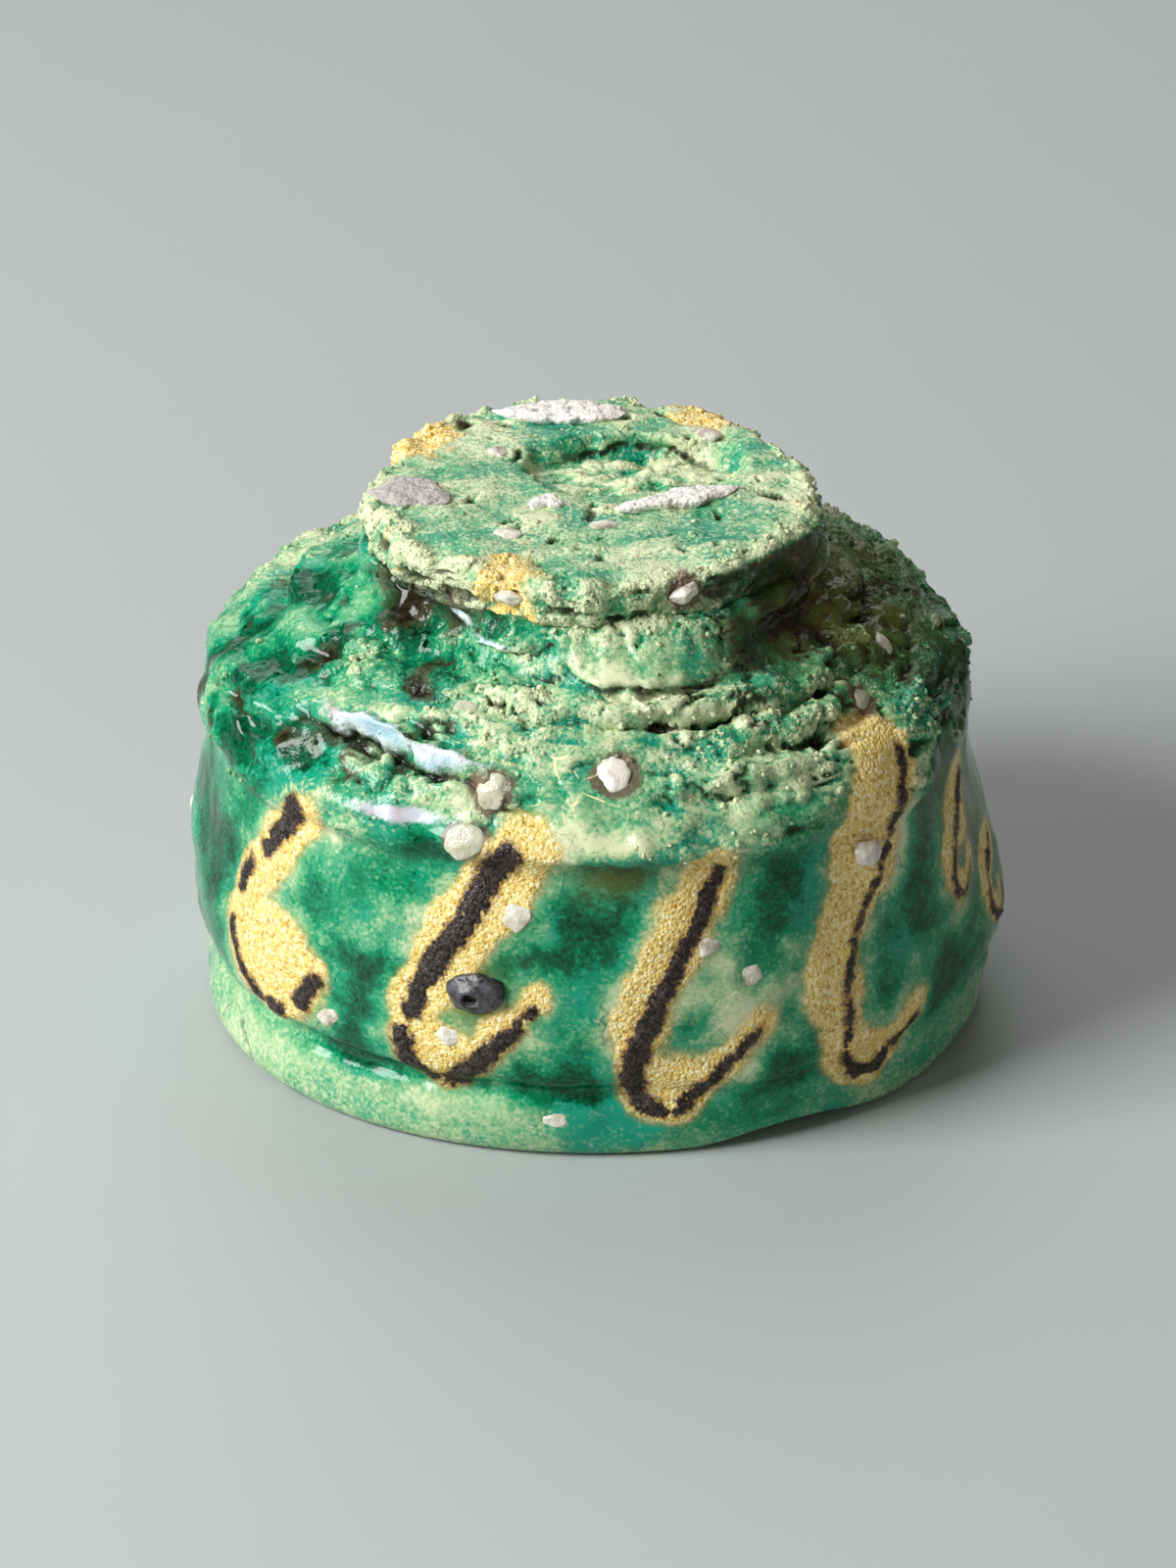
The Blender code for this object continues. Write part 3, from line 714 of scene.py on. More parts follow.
    def by_hand(
        self, angle: Array, radius: Array, height: Array, outside: Array, wander: Array
    ) -> tuple[Array, Array]:
        """Moves points of the turned form to the hand-built one.

        Args:
            angle: Where the points are round the axis.
            radius: How far they are from it.
            height: How high they are.
            outside: 1 on the outer face and 0 on the inner one.
            wander: How far the tears stray from their lines.

        Returns:
            The new radius and height.
        """
        lengths, stations = self.outside_line()
        along = self.along(height)
        lip, cut = self.torn(angle, along + wander, self.tear_spread)
        below, above = along - self.slope_span, along + self.slope_span
        inward = np.interp(below, lengths, stations[:, 0]) - np.interp(above, lengths, stations[:, 0])
        upward = np.interp(above, lengths, stations[:, 1]) - np.interp(below, lengths, stations[:, 1])
        moved = outside * (lip - cut) / np.hypot(inward, upward)
        lobes = self.lobe * np.cos(3 * (angle - math.radians(self.lobe_degrees)))
        oval = self.ovality * np.cos(2 * angle) + lobes
        top = self.neck_height + self.collar_height
        settled = unit((top - height) / (top - self.shoulder_height))
        radius = radius * (1 + oval * settled)
        for press in self.presses():
            radius = radius + outside * press.spread(angle, height)
        radius = radius + moved * upward
        height = height + moved * inward
        near_rim = unit(1 - height / self.rim_band_height)
        for rise in RISES:
            turn = turn_between(angle, rise.degrees) / math.radians(rise.half_width)
            height = height + near_rim * self.rim_lift * rise.share * unit(1 - turn**2) ** 2
        return radius, height


@dataclass
class Hook:
    """One brush hook: a stem that leans left, a turn at its foot and a tail that lifts to the right.

    Attributes:
        degrees: Angle of the stem's top.
        top: Height of the stem's top.
        low: Height of the turn's lowest point.
        lean: How far left the stem goes.
        bend: Half width of the turn.
        tail: Length of the tail.
        weight: Width of the brush line.
        ground: Half width of the yellow ground.
        aside: How far to the right of the line the ground lies.
        filled: Radius of the ground inside the turn.
        sway: How far the stem waves.
        lift: Slope of the tail, in degrees.
        gaps: Stretches of the line, as shares of its points, where the iron didn't take.
        swells: How much wider or narrower the brush was along its way.
    """

    degrees: float
    top: float
    low: float
    lean: float
    bend: float
    tail: float
    weight: float
    ground: float
    aside: float
    filled: float
    sway: float
    lift: float
    gaps: tuple[tuple[float, float], ...] = ()
    swells: tuple[float, ...] = (1.5, 1.25, 0.85, 1.2, 1.0, 0.8, 0.4)

    def path(self) -> tuple[Array, Array, Array]:
        """The way of the brush.

        Returns:
            Points as (right, height), with the brush's half width and the share of the way at each.
        """
        share = np.linspace(0, 1, 14)
        knee = self.low + 1.3 * self.bend
        wave = self.sway * np.sin(2.4 * math.pi * share) * np.sqrt(share)
        stem = np.stack((-self.lean * share**0.9 + wave, self.top + (knee - self.top) * share), axis=1)
        turn = np.radians(np.linspace(180, 310, 10))[1:]
        middle = np.array((stem[-1, 0] + self.bend, knee))
        arc = middle + self.bend * np.stack((np.cos(turn), 1.3 * np.sin(turn)), axis=1)
        lift = math.radians(self.lift)
        reach = np.linspace(0, 1, 6)[1:, None] * self.tail
        tail = arc[-1] + reach * np.array((math.cos(lift), math.sin(lift)))
        points = np.concatenate((stem, arc, tail))
        along = np.linspace(0, 1, len(points))
        swell = np.interp(along, (0, 0.06, 0.25, 0.5, 0.68, 0.85, 1), self.swells)
        return points, 0.5 * self.weight * swell, along

    @staticmethod
    def within(right: Array, height: Array, points: Array, half: Array) -> Array:
        """How deep places lie inside a line, negative outside it.

        Args:
            right: Places to the right of the stem's top.
            height: Heights of the places.
            points: Points along the line, as (right, height).
            half: Half width of the line at each point, below 0 where there is none.

        Returns:
            Depths in metres.
        """
        best = np.full(right.shape, -1.0)
        for start, end, width in zip(points[:-1], points[1:], 0.5 * (half[:-1] + half[1:])):
            span = end - start
            across = right - start[0]
            up = height - start[1]
            share = unit((across * span[0] + up * span[1]) / (span @ span))
            gap = np.hypot(across - share * span[0], up - share * span[1])
            best = np.maximum(best, width - gap)
        return best

    def depths(self, right: Array, height: Array) -> tuple[Array, Array]:
        """How deep places lie inside the brush line, and inside the yellow ground round it.

        Args:
            right: Places to the right of the stem's top.
            height: Heights of the places.

        Returns:
            The two depths in metres, negative outside.
        """
        points, half, along = self.path()
        halo = self.within(right, height, points, half + 0.35 * MM)
        width = self.ground * np.interp(along, (0, 0.16, 0.40, 0.50, 0.8, 1), (1.0, 1.0, 0.6, 0.5, 0.4, 0.4))
        aside = self.aside * np.interp(along, (0.3, 0.55), (1.0, 0.2))
        above = 0.9 * MM * np.interp(along, (0.55, 0.8), (0.0, 1.0))
        band = self.within(right, height, points + np.stack((aside, above), axis=1), width)
        middle = np.hypot((right + self.lean - self.bend) / 1.3, height - self.low - 0.9 * self.bend)
        for first, last in self.gaps:
            half = np.where((along >= first) & (along < last), -1.0 * MM, half)
        line = self.within(right, height, points, half)
        return line, np.maximum(np.maximum(halo, band), self.filled - middle)


def hook_of(sizes: tuple[float, ...], **brushed: tuple) -> Hook:
    """A hook from its sizes, with lengths in millimetres, and from how its line was brushed."""
    return Hook(sizes[0], *(part * MM for part in sizes[1:-1]), sizes[-1], **brushed)


# The brush hooks round the wall, from the front left to the right and round the back.
HOOKS = (
    hook_of(
        (-140, 27.3, 8.4, 8.0, 5.6, 3.4, 1.9, 1.9, 1.4, 4.3, 0.3, 56),
        gaps=((0.22, 0.26), (0.42, 0.50), (0.76, 0.80)),
        swells=(1.2, 1.1, 0.9, 0.5, 0.5, 1.0, 0.7),
    ),
    hook_of(
        (-103.6, 27.6, 6.4, 9.4, 3.1, 9.4, 2.0, 3.2, 0.8, 3.2, 0.3, 47),
        gaps=((0.44, 0.48), (0.70, 0.74)),
        swells=(1.4, 1.2, 1.0, 1.05, 0.6, 1.1, 0.35),
    ),
    hook_of(
        (-70.4, 25.9, 4.6, 8.4, 3.0, 8.4, 1.7, 2.5, -0.9, 2.7, 0.25, 43),
        swells=(0.7, 0.8, 0.95, 1.4, 0.85, 0.75, 0.5),
    ),
    hook_of(
        (-36.7, 31.6, 4.2, 8.9, 2.4, 4.8, 1.15, 3.4, -2.3, 2.2, 1.0, 36),
        swells=(0.75, 0.8, 0.6, 0.75, 1.2, 0.7, 0.6),
    ),
    hook_of((-16, 24.6, 15.6, 6.4, 1.6, 1.6, 0.8, 2.2, -0.6, 1.0, 0.5, 44)),
    hook_of((-9, 16.4, 9.6, 2.6, 1.4, 1.6, 0.8, 1.6, -0.3, 1.0, 0.2, 44)),
    hook_of((24, 27.0, 6.0, 8.2, 3.2, 7.5, 1.6, 2.5, 0.9, 2.4, 0.4, 46), gaps=((0.30, 0.36),)),
    hook_of((61, 26.0, 5.4, 8.8, 3.0, 8.6, 1.8, 2.6, -0.8, 0.0, 0.3, 42)),
    hook_of(
        (97, 28.4, 6.6, 8.0, 3.4, 7.0, 1.4, 2.9, -1.3, 2.6, 0.7, 50),
        gaps=((0.50, 0.56), (0.80, 0.85)),
    ),
    hook_of((134, 26.4, 5.0, 8.6, 3.0, 8.0, 1.7, 2.4, 0.4, 2.2, 0.3, 44)),
    hook_of(
        (175, 27.2, 7.4, 7.8, 3.4, 6.4, 1.6, 2.6, 1.1, 2.6, 0.5, 47),
        gaps=((0.22, 0.28), (0.60, 0.66)),
    ),
)


class Slot(Enum):
    """Names of material slots."""

    GLAZE = "green_glaze"
    STONE = "feldspar"
    WAD = "kiln_wad"
    IRON = "iron"


def placed(name: str, data: bpy.types.ID) -> Object:
    """A new object in the scene.

    Args:
        name: Its name.
        data: Its mesh, lamp or lens.

    Returns:
        The object.
    """
    made = bpy.data.objects.new(name, data)
    bpy.context.scene.collection.objects.link(made)
    return made


def finished(name: str, mesh: Mesh, material: Material, nodes: list[str]) -> Object:
    """Puts a mesh in the scene as a piece that rides on the cup and stands for its solids.

    Args:
        name: Name of the piece.
        mesh: Its mesh, in place.
        material: Its finish.
        nodes: Solids that it replaces.

    Returns:
        The piece.
    """
    mesh.materials.clear()
    mesh.materials.append(material)
    piece = placed(name, mesh)
    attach(piece, BODY)
    if nodes:
        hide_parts(*nodes)
    LOG.info("%s: %d faces", name, len(mesh.polygons))
    return piece


class Value:
    """A socket of a node tree, so that sums of sockets are written as plain sums."""

    def __init__(self, bench: "NodeBench", socket: Socket) -> None:
        """Stands for a socket."""
        self.bench = bench
        self.socket = socket

    def __add__(self, other: object) -> "Value":
        """The sum of two values."""
        return self.bench.math("ADD", self, other)

    def __sub__(self, other: object) -> "Value":
        """The difference of two values."""
        return self.bench.math("SUBTRACT", self, other)

    def __rsub__(self, other: float) -> "Value":
        """What the value leaves of a number."""
        return self.bench.math("SUBTRACT", other, self)

    def __mul__(self, other: object) -> "Value":
        """The product of two values."""
        return self.bench.math("MULTIPLY", self, other)

    def larger(self, other: object) -> "Value":
        """The larger of two values."""
        return self.bench.math("MAXIMUM", self, other)

    def fade(self, low: float, high: float) -> "Value":
        """A soft step from 0 at low to 1 at high."""
        limits = {"Value": self, "From Min": low, "From Max": high}
        return self.bench.value("ShaderNodeMapRange", limits, interpolation_type="SMOOTHSTEP")

    def swayed(self, *sways: tuple["Value", float]) -> "Value":
        """The value moved up and down by noises from 0 to 1, each by its reach."""
        return sum(((noise - 0.5) * reach for noise, reach in sways), self)


class NodeBench:
    """Adds nodes to one tree and joins them by socket name."""

    def __init__(self, tree: Tree) -> None:
        """Works on a tree."""
        self.tree = tree

    def socket(self, name: str, kind: str, side: str = "INPUT") -> None:
        """Gives the group an input, or an output."""
        self.tree.interface.new_socket(name, in_out=side, socket_type="NodeSocket" + kind)

    def add(self, kind: str, inputs: dict | None = None, **settings: object) -> Node:
        """A new node.

        Args:
            kind: Its type.
            inputs: Numbers, colours or values by input name or index.
            settings: Properties of the node.

        Returns:
            The node.
        """
        node = self.tree.nodes.new(kind)
        for key, value in settings.items():
            setattr(node, key, value)
        self.join(node, inputs or {})
        return node

    def join(self, node: Node, inputs: dict) -> None:
        """Gives a node its inputs.

        Args:
            node: The node.
            inputs: Numbers, colours or values by input name or index.
        """
        for key, value in inputs.items():
            if isinstance(value, Value):
                self.tree.links.new(value.socket, node.inputs[key])
            else:
                node.inputs[key].default_value = value

    def value(self, kind: str, inputs: dict, output: int | str = 0, **settings: object) -> Value:
        """One output of a new node."""
        return Value(self, self.add(kind, inputs, **settings).outputs[output])

    def values(self, kind: str, inputs: dict | None = None, **settings: object) -> dict[str, Value]:
        """Every output of a new node, by name."""
        return {made.name: Value(self, made) for made in self.add(kind, inputs, **settings).outputs}

    def math(self, operation: str, first: object, second: object = 0.0) -> Value:
        """The result of an operation on two values."""
        return self.value("ShaderNodeMath", {0: first, 1: second}, operation=operation)

    def attribute(self, name: str, *sways: tuple[Value, float]) -> Value:
        """The value of the piece's own attribute, moved up and down by noises."""
        return self.value("ShaderNodeAttribute", {}, "Fac", attribute_name=name).swayed(*sways)

    def mix(self, factor: object, first: object, second: object) -> Value:
        """Two colours mixed.

        Args:
            factor: Share of the second.
            first: A colour.
            second: Another.

        Returns:
            The mixed colour.
        """
        colours = [(*colour, 1) if isinstance(colour, tuple) else colour for colour in (first, second)]
        inputs = {0: factor, 6: colours[0], 7: colours[1]}
        return self.value("ShaderNodeMix", inputs, 2, data_type="RGBA")

    def ramp(self, factor: Value, *stops: tuple[float, Colour]) -> Value:
        """A colour ramp.

        Args:
            factor: Where on the ramp to look.
            stops: Places from 0 to 1, each with its colour.

        Returns:
            The colour there.
        """
        node = self.add("ShaderNodeValToRGB", {"Fac": factor})
        elements = node.color_ramp.elements
        while len(elements) < len(stops):
            elements.new(0.5)
        for element, (place, colour) in zip(elements, stops):
            element.position = place
            element.color = (*colour, 1)
        return Value(self, node.outputs["Color"])

    def noise(self, place: Value, size: float, detail: float) -> Value:
        """Noise from 0 to 1 with swells of a size in metres."""
        inputs = {"Vector": place, "Scale": 1 / size, "Detail": detail, "Roughness": 0.6}
        return self.value("ShaderNodeTexNoise", inputs, "Fac")

    def edges(self, place: Value, size: float) -> Value:
        """Distance to the nearest edge between cells of a size in metres."""
        inputs = {"Vector": place, "Scale": 1 / size}
        return self.value("ShaderNodeTexVoronoi", inputs, "Distance", feature="DISTANCE_TO_EDGE")

    def bumped(self, height: Value, strength: float, distance: float) -> Value:
        """Normals that a height bends."""
        inputs = {"Strength": strength, "Distance": distance, "Height": height}
        return self.value("ShaderNodeBump", inputs, "Normal")

    def places(self) -> Value:
        """Places on the piece."""
        return self.value("ShaderNodeTexCoord", {}, "Object")

    def grained(self, grain: Tree, *sizes: float) -> dict[str, Value]:
        """The shared grain on the piece, with sizes of its clouds, grains and crystals in metres."""
        inputs = dict(zip(("Place", *GRAIN_SIZES), (self.places(), *sizes)))
        return self.values("ShaderNodeGroup", inputs, node_tree=grain)


def new_material(name: str) -> tuple[Material, NodeBench, Node]:
    """A material with its bench and its Principled BSDF.

    Args:
        name: Its name.

    Returns:
        The three of them.
    """
    made = bpy.data.materials.new(name)
    made.use_nodes = True
    return made, NodeBench(made.node_tree), made.node_tree.nodes["Principled BSDF"]


def solids(kind: str) -> list[str]:
    """Names of the solids of a kind, in order."""
    return sorted(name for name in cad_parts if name.startswith(kind))


def solid_points(name: str) -> Array:
    """Places of a solid's vertices."""
    return np.array([vertex.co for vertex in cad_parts[name].data.vertices])


def solid_box(name: str) -> tuple[Array, Array]:
    """Lowest and highest corner of a solid's box."""
    low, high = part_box(name)
    return np.array(low), np.array(high)


def stone_clearance(points: Array, names: tuple[str, ...] = ()) -> Array:
    """Distance from each point to the edge of the nearest bedded stone, negative inside it.

    Args:
        points: The places.
        names: The stones to look at, or none for all of them.

    Returns:
        Distances in metres.
    """
    nearest = np.full(points.shape[:-1], 1.0)
    for name in names or solids("stone_"):
        low, high = solid_box(name)
        radius = np.median(high - low) / 2
        nearest = np.minimum(nearest, np.linalg.norm(points - (low + high) / 2, axis=-1) - radius)
    return nearest


class WallSkin(NamedTuple):
    """The wall's plain form, with where each of its points lies.

    Attributes:
        surface: The skin itself.
        angle: Angles round the axis.
        place: How far up the outside the points are, along the skin.
        outside: 1 on the outer face and 0 on the inner one.
        torn_place: How far up the outside they are, as the straying tears see it.
    """

    surface: Surface
    angle: Array
    place: Array
    outside: Array
    torn_place: Array


@dataclass
class CupWall:
    """The clay body with its glaze: torn shoulder, smooth painted wall and rim band."""

    form: CupForm
    around: int = 560
    shoulder_step: float = 0.31 * MM
    wall_step: float = 0.50 * MM
    inside_step: float = 3.0 * MM
    fine_past_waist: float = 3.0 * MM
    fine_past_edges: float = 2.5 * MM
    rounding: float = 0.8 * MM
    waist_station: int = 9
    waist_sway: float = 1.2 * MM
    waist_ease: float = 0.6 * MM
    stray: float = 0.9 * MM
    fine_stray: float = 0.45 * MM
    drift: float = 0.5 * MM
    hook_reach: float = 24 * MM
    shoulder_from: float = 26.4 * MM
    shoulder_to: float = 29.8 * MM
    shoulder_sway: float = 2.2 * MM
    rim_from: float = 4.6 * MM
    rim_to: float = 6.4 * MM
    glossy_degrees: float = -167
    glossy_half_width: float = 41
    shady_degrees: float = 2
    shady_half_width: float = 30
    crust: Patch = Patch(-145, 37.3 * MM, 0.9, 7, 1.5 * MM)
    veined: Patch = Patch(-94, 33.2 * MM, 1.0, 9, 2.4 * MM)
    bead_stain: float = 3.2 * MM
    lump: float = 0.45 * MM
    stratum: float = 4.6 * MM
    stratum_lip: float = 0.55 * MM
    stratum_depth: float = 0.60 * MM
    seam_depth: float = 0.50 * MM
    pillow: float = 0.28 * MM
    tear_line: float = 0.36 * MM
    tear_depth: float = 0.4 * MM
    brink_line: float = 0.55 * MM
    brink_over: float = 0.8 * MM
    crumb_size: float = 0.75 * MM
    crumb_height: float = 0.17 * MM
    grit_height: float = 0.16 * MM
    gloss_fine: float = 0.30 * MM
    gloss_broad: float = 0.6 * MM
    skin_grain: float = 0.06 * MM
    stroke_height: float = 0.18 * MM

    def skin(self) -> WallSkin:
        """The plain form, with a waist that wanders up and down.

        Returns:
            The skin, with where its points lie.
        """
        form = self.form
        outer = form.outer_stations()
        stations = np.array([(0.0, outer[0][1]), *outer, *form.inner_stations()])
        lengths = lengths_along(stations)
        waist, rim = lengths[self.waist_station], lengths[len(outer)]
        first, last = lengths[1] - self.fine_past_edges, rim + self.fine_past_edges

        def step(along: Array) -> Array:
            """Distance between rows, wide where they aren't seen."""
            outer = np.where(along < waist + self.fine_past_waist, self.shoulder_step, self.wall_step)
            return np.where((along < first) | (along > last), self.inside_step, outer)

        grid = turned_grid(stations, self.rounding, self.around, step)
        place = rim - grid.along
        outside = smooth_step(-1.0 * MM, 0.0, place)
        angle = (grid.angle + math.pi) % FULL_TURN - math.pi
        ring = self.round_noise(angle, 0 * place, 11 * MM, 1.0)
        over_waist = place - (rim - waist)
        sway = bell(over_waist, 3.2 * MM) * fractal_noise(ring, Seed.WAIST_SWAY, 3)
        height = grid.height + self.waist_sway * sway
        eased = smooth_step(-0.1, 0.5, fractal_noise(ring, Seed.WAIST_EASE, 2))
        radius = grid.radius - self.waist_ease * eased * bell(over_waist - 1.6 * MM, 2.0 * MM)
        broad, fine = (self.round_noise(angle, place, size, size) for size in (4.0 * MM, 1.5 * MM))
        wander = self.stray * fractal_noise(broad, Seed.STRAY, 4)
        wander = wander + self.fine_stray * fractal_noise(fine, Seed.FINE_STRAY, 2)
        torn_place = form.along(height) + wander
        radius, height = form.by_hand(angle, radius, height, outside, wander)
        surface = Surface(turned(radius, angle, height))
        return WallSkin(surface, angle, place, outside, torn_place)

    def round_noise(self, angle: Array, place: Array, across: float, along: float) -> Array:
        """Noise places on the unrolled wall, stretched round it and up it.

        Args:
            angle: Angles of the points.
            place: How far up the outside they are.
            across: Length of one swell round the wall.
            along: Length of one swell up the wall.

        Returns:
            Places in lattice units.
        """
        return turned(self.form.shoulder_radius / across, angle, place / along)

    def strata(self, angle: Array, place: Array, seed: int) -> tuple[Array, Array]:
        """Layers of torn clay: a lip over each crevice, fading in and out round the wall.

        Args:
            angle: Angles of the points.
            place: How far up the outside they are.
            seed: Which layers to make.

        Returns:
            How far the lips stand out, and how deep in a crevice each point is, both from 0 to 1.
        """
        spots = self.round_noise(angle, place, 2.2 * self.stratum, 1.3 * self.stratum)
        layer = place / self.stratum + 1.1 * fractal_noise(spots, seed, 4)
        step = layer - np.floor(layer)
        ring = self.round_noise(angle, 0 * place, 1.5 * self.stratum, 1.0)
        ring[..., 2] = 7.31 * np.floor(layer)
        lip = smooth_step(-0.2, 0.4, gradient_noise(ring, seed + 11))
        ring[..., 2] = 7.31 * np.round(layer)
        gape = smooth_step(0.05, 0.5, gradient_noise(ring, seed + 23))
        lip = lip * smooth_step(0.05, 0.17, step) * (1 - smooth_step(0.17, 0.9, step))
        return lip, gape * bell(np.minimum(step, 1 - step), 0.06)

    def brush(self, skin: WallSkin) -> tuple[Array, Array]:
        """How deep each point lies inside an iron line and inside a yellow ground.

        Args:
            skin: The wall's plain form.

        Returns:
            The two depths in metres, negative outside.
        """
        points = skin.surface.points
        height = points[..., 2]
        iron = np.full(height.shape, -1.0)
        yellow = np.full(height.shape, -1.0)
        drift = self.drift * swells(points, 7, Seed.DRIFT, 2)
        for hook in HOOKS:
            right = turn_between(skin.angle, hook.degrees) * self.form.belly_radius + drift
            near = (np.abs(right) < self.hook_reach) & (skin.outside > 0.5)
            line, ground = hook.depths(right[near], height[near])
            iron[near] = np.maximum(iron[near], line)
            yellow[near] = np.maximum(yellow[near], ground)
        iron = iron + 0.36 * MM * swells(points, 1.2, Seed.RAGGED, 3) - 0.05 * MM
        iron = iron - 1.1 * MM * smooth_step(0.46, 0.70, swells(points, 2.4, Seed.DRY, 3))
        yellow = yellow + 1.0 * MM * swells(points, 5.0, Seed.GROUNDS, 4)
        return iron, yellow

    def build(self, material: Material) -> Object:
        """Makes the wall's piece.

        Args:
            material: The glaze.

        Returns:
            The piece, which replaces the clay body.
        """
        skin = self.skin()
        coat = WallCoat(self, skin)
        surface = skin.surface
        surface.points = coat.points + surface.normals() * coat.moved()[..., None]
        mesh = surface.mesh("glazed_wall", coat.fields())
        return finished("glazed_wall", mesh, material, ["cup_wall"])


class WallCoat:
    """What lies on each point of the wall: brushwork, torn clay, crumbs and the glaze over them."""

    def __init__(self, wall: CupWall, skin: WallSkin) -> None:
        """Finds what lies where.

        Args:
            wall: The wall with its sizes.
            skin: Its plain form.
        """
        self.wall = wall
        self.skin = skin
        self.points = points = skin.surface.points
        self.height = points[..., 2]
        self.iron, self.yellow = wall.brush(skin)
        self.lumps = swells(points, 9, Seed.LUMPS, 3)
        self.pebbly = swells(points, 3.2, Seed.PEBBLES, 3)
        self.blotch = swells(points, 4.6, Seed.BLOTCHES, 4)
        self.gloomy = smooth_step(0.15, 0.50, swells(points, 5.2, Seed.GLOOM, 4))
        self.bare = 1 - smooth_step(-0.6 * MM, 1.2 * MM, self.yellow)
        self.on_outside = skin.outside * self.bare

        edge = self.height + wall.shoulder_sway * self.lumps
        self.shoulder = smooth_step(wall.shoulder_from, wall.shoulder_to, edge) * skin.outside
        glossy = sector(skin.angle, wall.glossy_degrees, wall.glossy_half_width) * self.shoulder
        self.glossy = glossy * (1 - wall.crust.spread(skin.angle, self.height))
        # The right side, away from the light, is painted in shade.
        self.shady = sector(skin.angle, wall.shady_degrees, wall.shady_half_width) * self.shoulder
        self.calm = unit(self.spread(CALMS))
        self.torn = self.shoulder * (1 - 0.9 * self.glossy) * self.bare * (1 - 0.8 * self.calm)

        form = wall.form
        self.up, self.shown = form.over_tear(TEARS[0], skin.angle, skin.torn_place)
        # The pale ridge and the stripes are milky glaze with a painted highlight.
        over_lip = self.up - form.lip_above + 0.4 * MM * self.lumps
        milk_and_highlight = self.shown * bell(over_lip, MM * (0.90 + 0.6 * self.blotch))
        self.milk_and_highlight = unit(milk_and_highlight + self.spread(MILK_AND_HIGHLIGHT_STRIPES, 0.3 * MM * self.lumps))

        self.lip, self.crevice = wall.strata(skin.angle, skin.place, Seed.STRATA)
        drawn = wall.round_noise(skin.angle, skin.place, 5.4 * MM, 2.6 * MM)
        self.drag = fractal_noise(drawn, Seed.DRAG, 4)
        self.seam = bell(self.drag, 0.055) * smooth_step(-0.05, 0.30, swells(points, 6, Seed.SEAMS, 2))
        broken = smooth_step(-0.2, 0.3, swells(points, 2.6, Seed.BREAKS, 3))
        tear_lip, tear_line = form.torn(skin.angle, skin.torn_place, wall.tear_line)
        self.opening = unit(1.2 * tear_line / MM) * broken
        cut = form.torn(skin.angle, skin.torn_place - wall.brink_over, wall.brink_line)[1]
        brink = unit(1.3 * cut / MM) * broken * self.shoulder * self.bare
        self.dome, value = domes(points, wall.crumb_size, Seed.CRUMBS)
        ridges = self.pebbly + 0.5 * self.lip + 0.45 * tear_lip / MM - 0.6 * self.seam
        self.crumb = np.maximum(self.torn * smooth_step(-0.10, 0.50, ridges), brink) * (0.25 + 0.75 * value)

        self.relief = self.raised()
        self.small = self.relief - skin.surface.blurred(self.relief, 8)
        self.broad = self.relief - skin.surface.blurred(self.relief, 60)

    def spread(self, patches: list[Patch], sway: Array | float = 0.0) -> Array:
        """The amounts of patches at each point, with edges that sway up and down."""
        return spread_of(patches, self.skin.angle, self.height + sway)

    def raised(self) -> Array:
        """How far layers, tears, crumbs, folds and brush lines stand out of the plain form.

        Returns:
            Lengths in metres.
        """
        wall, torn, pebbly = self.wall, self.torn, self.pebbly
        layers = wall.stratum_lip * self.lip - wall.stratum_depth * self.crevice
        relief = torn * (layers - wall.seam_depth * self.seam)
        relief += torn * wall.pillow * (np.minimum(np.abs(self.drag), 0.4) / 0.4 - 0.5)
        relief = relief - wall.tear_depth * self.opening * self.on_outside
        relief += wall.crumb_height * self.crumb * (self.dome - 0.35)
        relief += torn * wall.grit_height * swells(self.points, 1.5, Seed.GRIT, 2)
        relief += self.glossy * (wall.gloss_fine * pebbly + wall.gloss_broad * self.blotch)
        relief = (relief + wall.skin_grain * pebbly * self.skin.outside) * (1 - 0.85 * self.milk_and_highlight)
        folds = self.spread(FOLDS, 0.4 * MM * pebbly) * self.on_outside
        stroke = smooth_step(-0.1 * MM, 0.35 * MM, self.iron)
        return relief + folds + wall.stroke_height * stroke * (1 + 0.6 * pebbly)

    def moved(self) -> Array:
        """How far each point moves out, less on the resting plane and under the stones.

        Returns:
            Lengths in metres.
        """
        outside = self.skin.outside
        grounded = smooth_step(0.2 * MM, 3.0 * MM, self.height) * outside
        bedded = 0.2 + 0.8 * smooth_step(-0.4 * MM, 0.9 * MM, stone_clearance(self.points))
        return (self.relief + self.wall.lump * self.lumps * outside) * grounded * bedded

    def thin(self) -> Array:
        """How thin the glaze lies, lowered also for painted shade on the right side and in pools under the
        foot.

        Returns:
            About 0 in its pools to 1 on its edges.
        """
        wall, skin, glossy = self.wall, self.skin, self.glossy
        mottle = fractal_noise(wall.round_noise(skin.angle, skin.place, 7 * MM, 9 * MM), Seed.MOTTLE, 4)
        halo = self.yellow + 1.4 * MM * swells(self.points, 2.4, Seed.HALO, 3)
        near_yellow = smooth_step(-3.6 * MM, 0.2 * MM, halo)
        rim_band = 1 - smooth_step(wall.rim_from, wall.rim_to, self.height + MM * self.lumps)
        smooth = 0.27 + 0.44 * near_yellow + 0.25 * mottle + 0.18 * self.lumps + 0.10 * self.pebbly
        smooth = smooth + rim_band * (0.62 - 0.75 * smooth)
        torn = 0.74 + 0.16 * mottle + 0.24 * self.blotch + 0.10 * self.crumb
        torn = torn + (0.60 * self.small + 0.25 * self.broad) / MM * (1 - 0.6 * glossy)
        pooled = glossy * (0.22 - 0.30 * self.blotch + 0.36 * self.gloomy)
        torn = torn - 0.15 * self.calm - 0.26 * self.shady - pooled
        torn = torn - 0.7 * glossy * np.maximum(torn - 0.55, 0)
        return smooth + self.shoulder * (torn - smooth) + self.spread(POOLS_AND_SHADE)

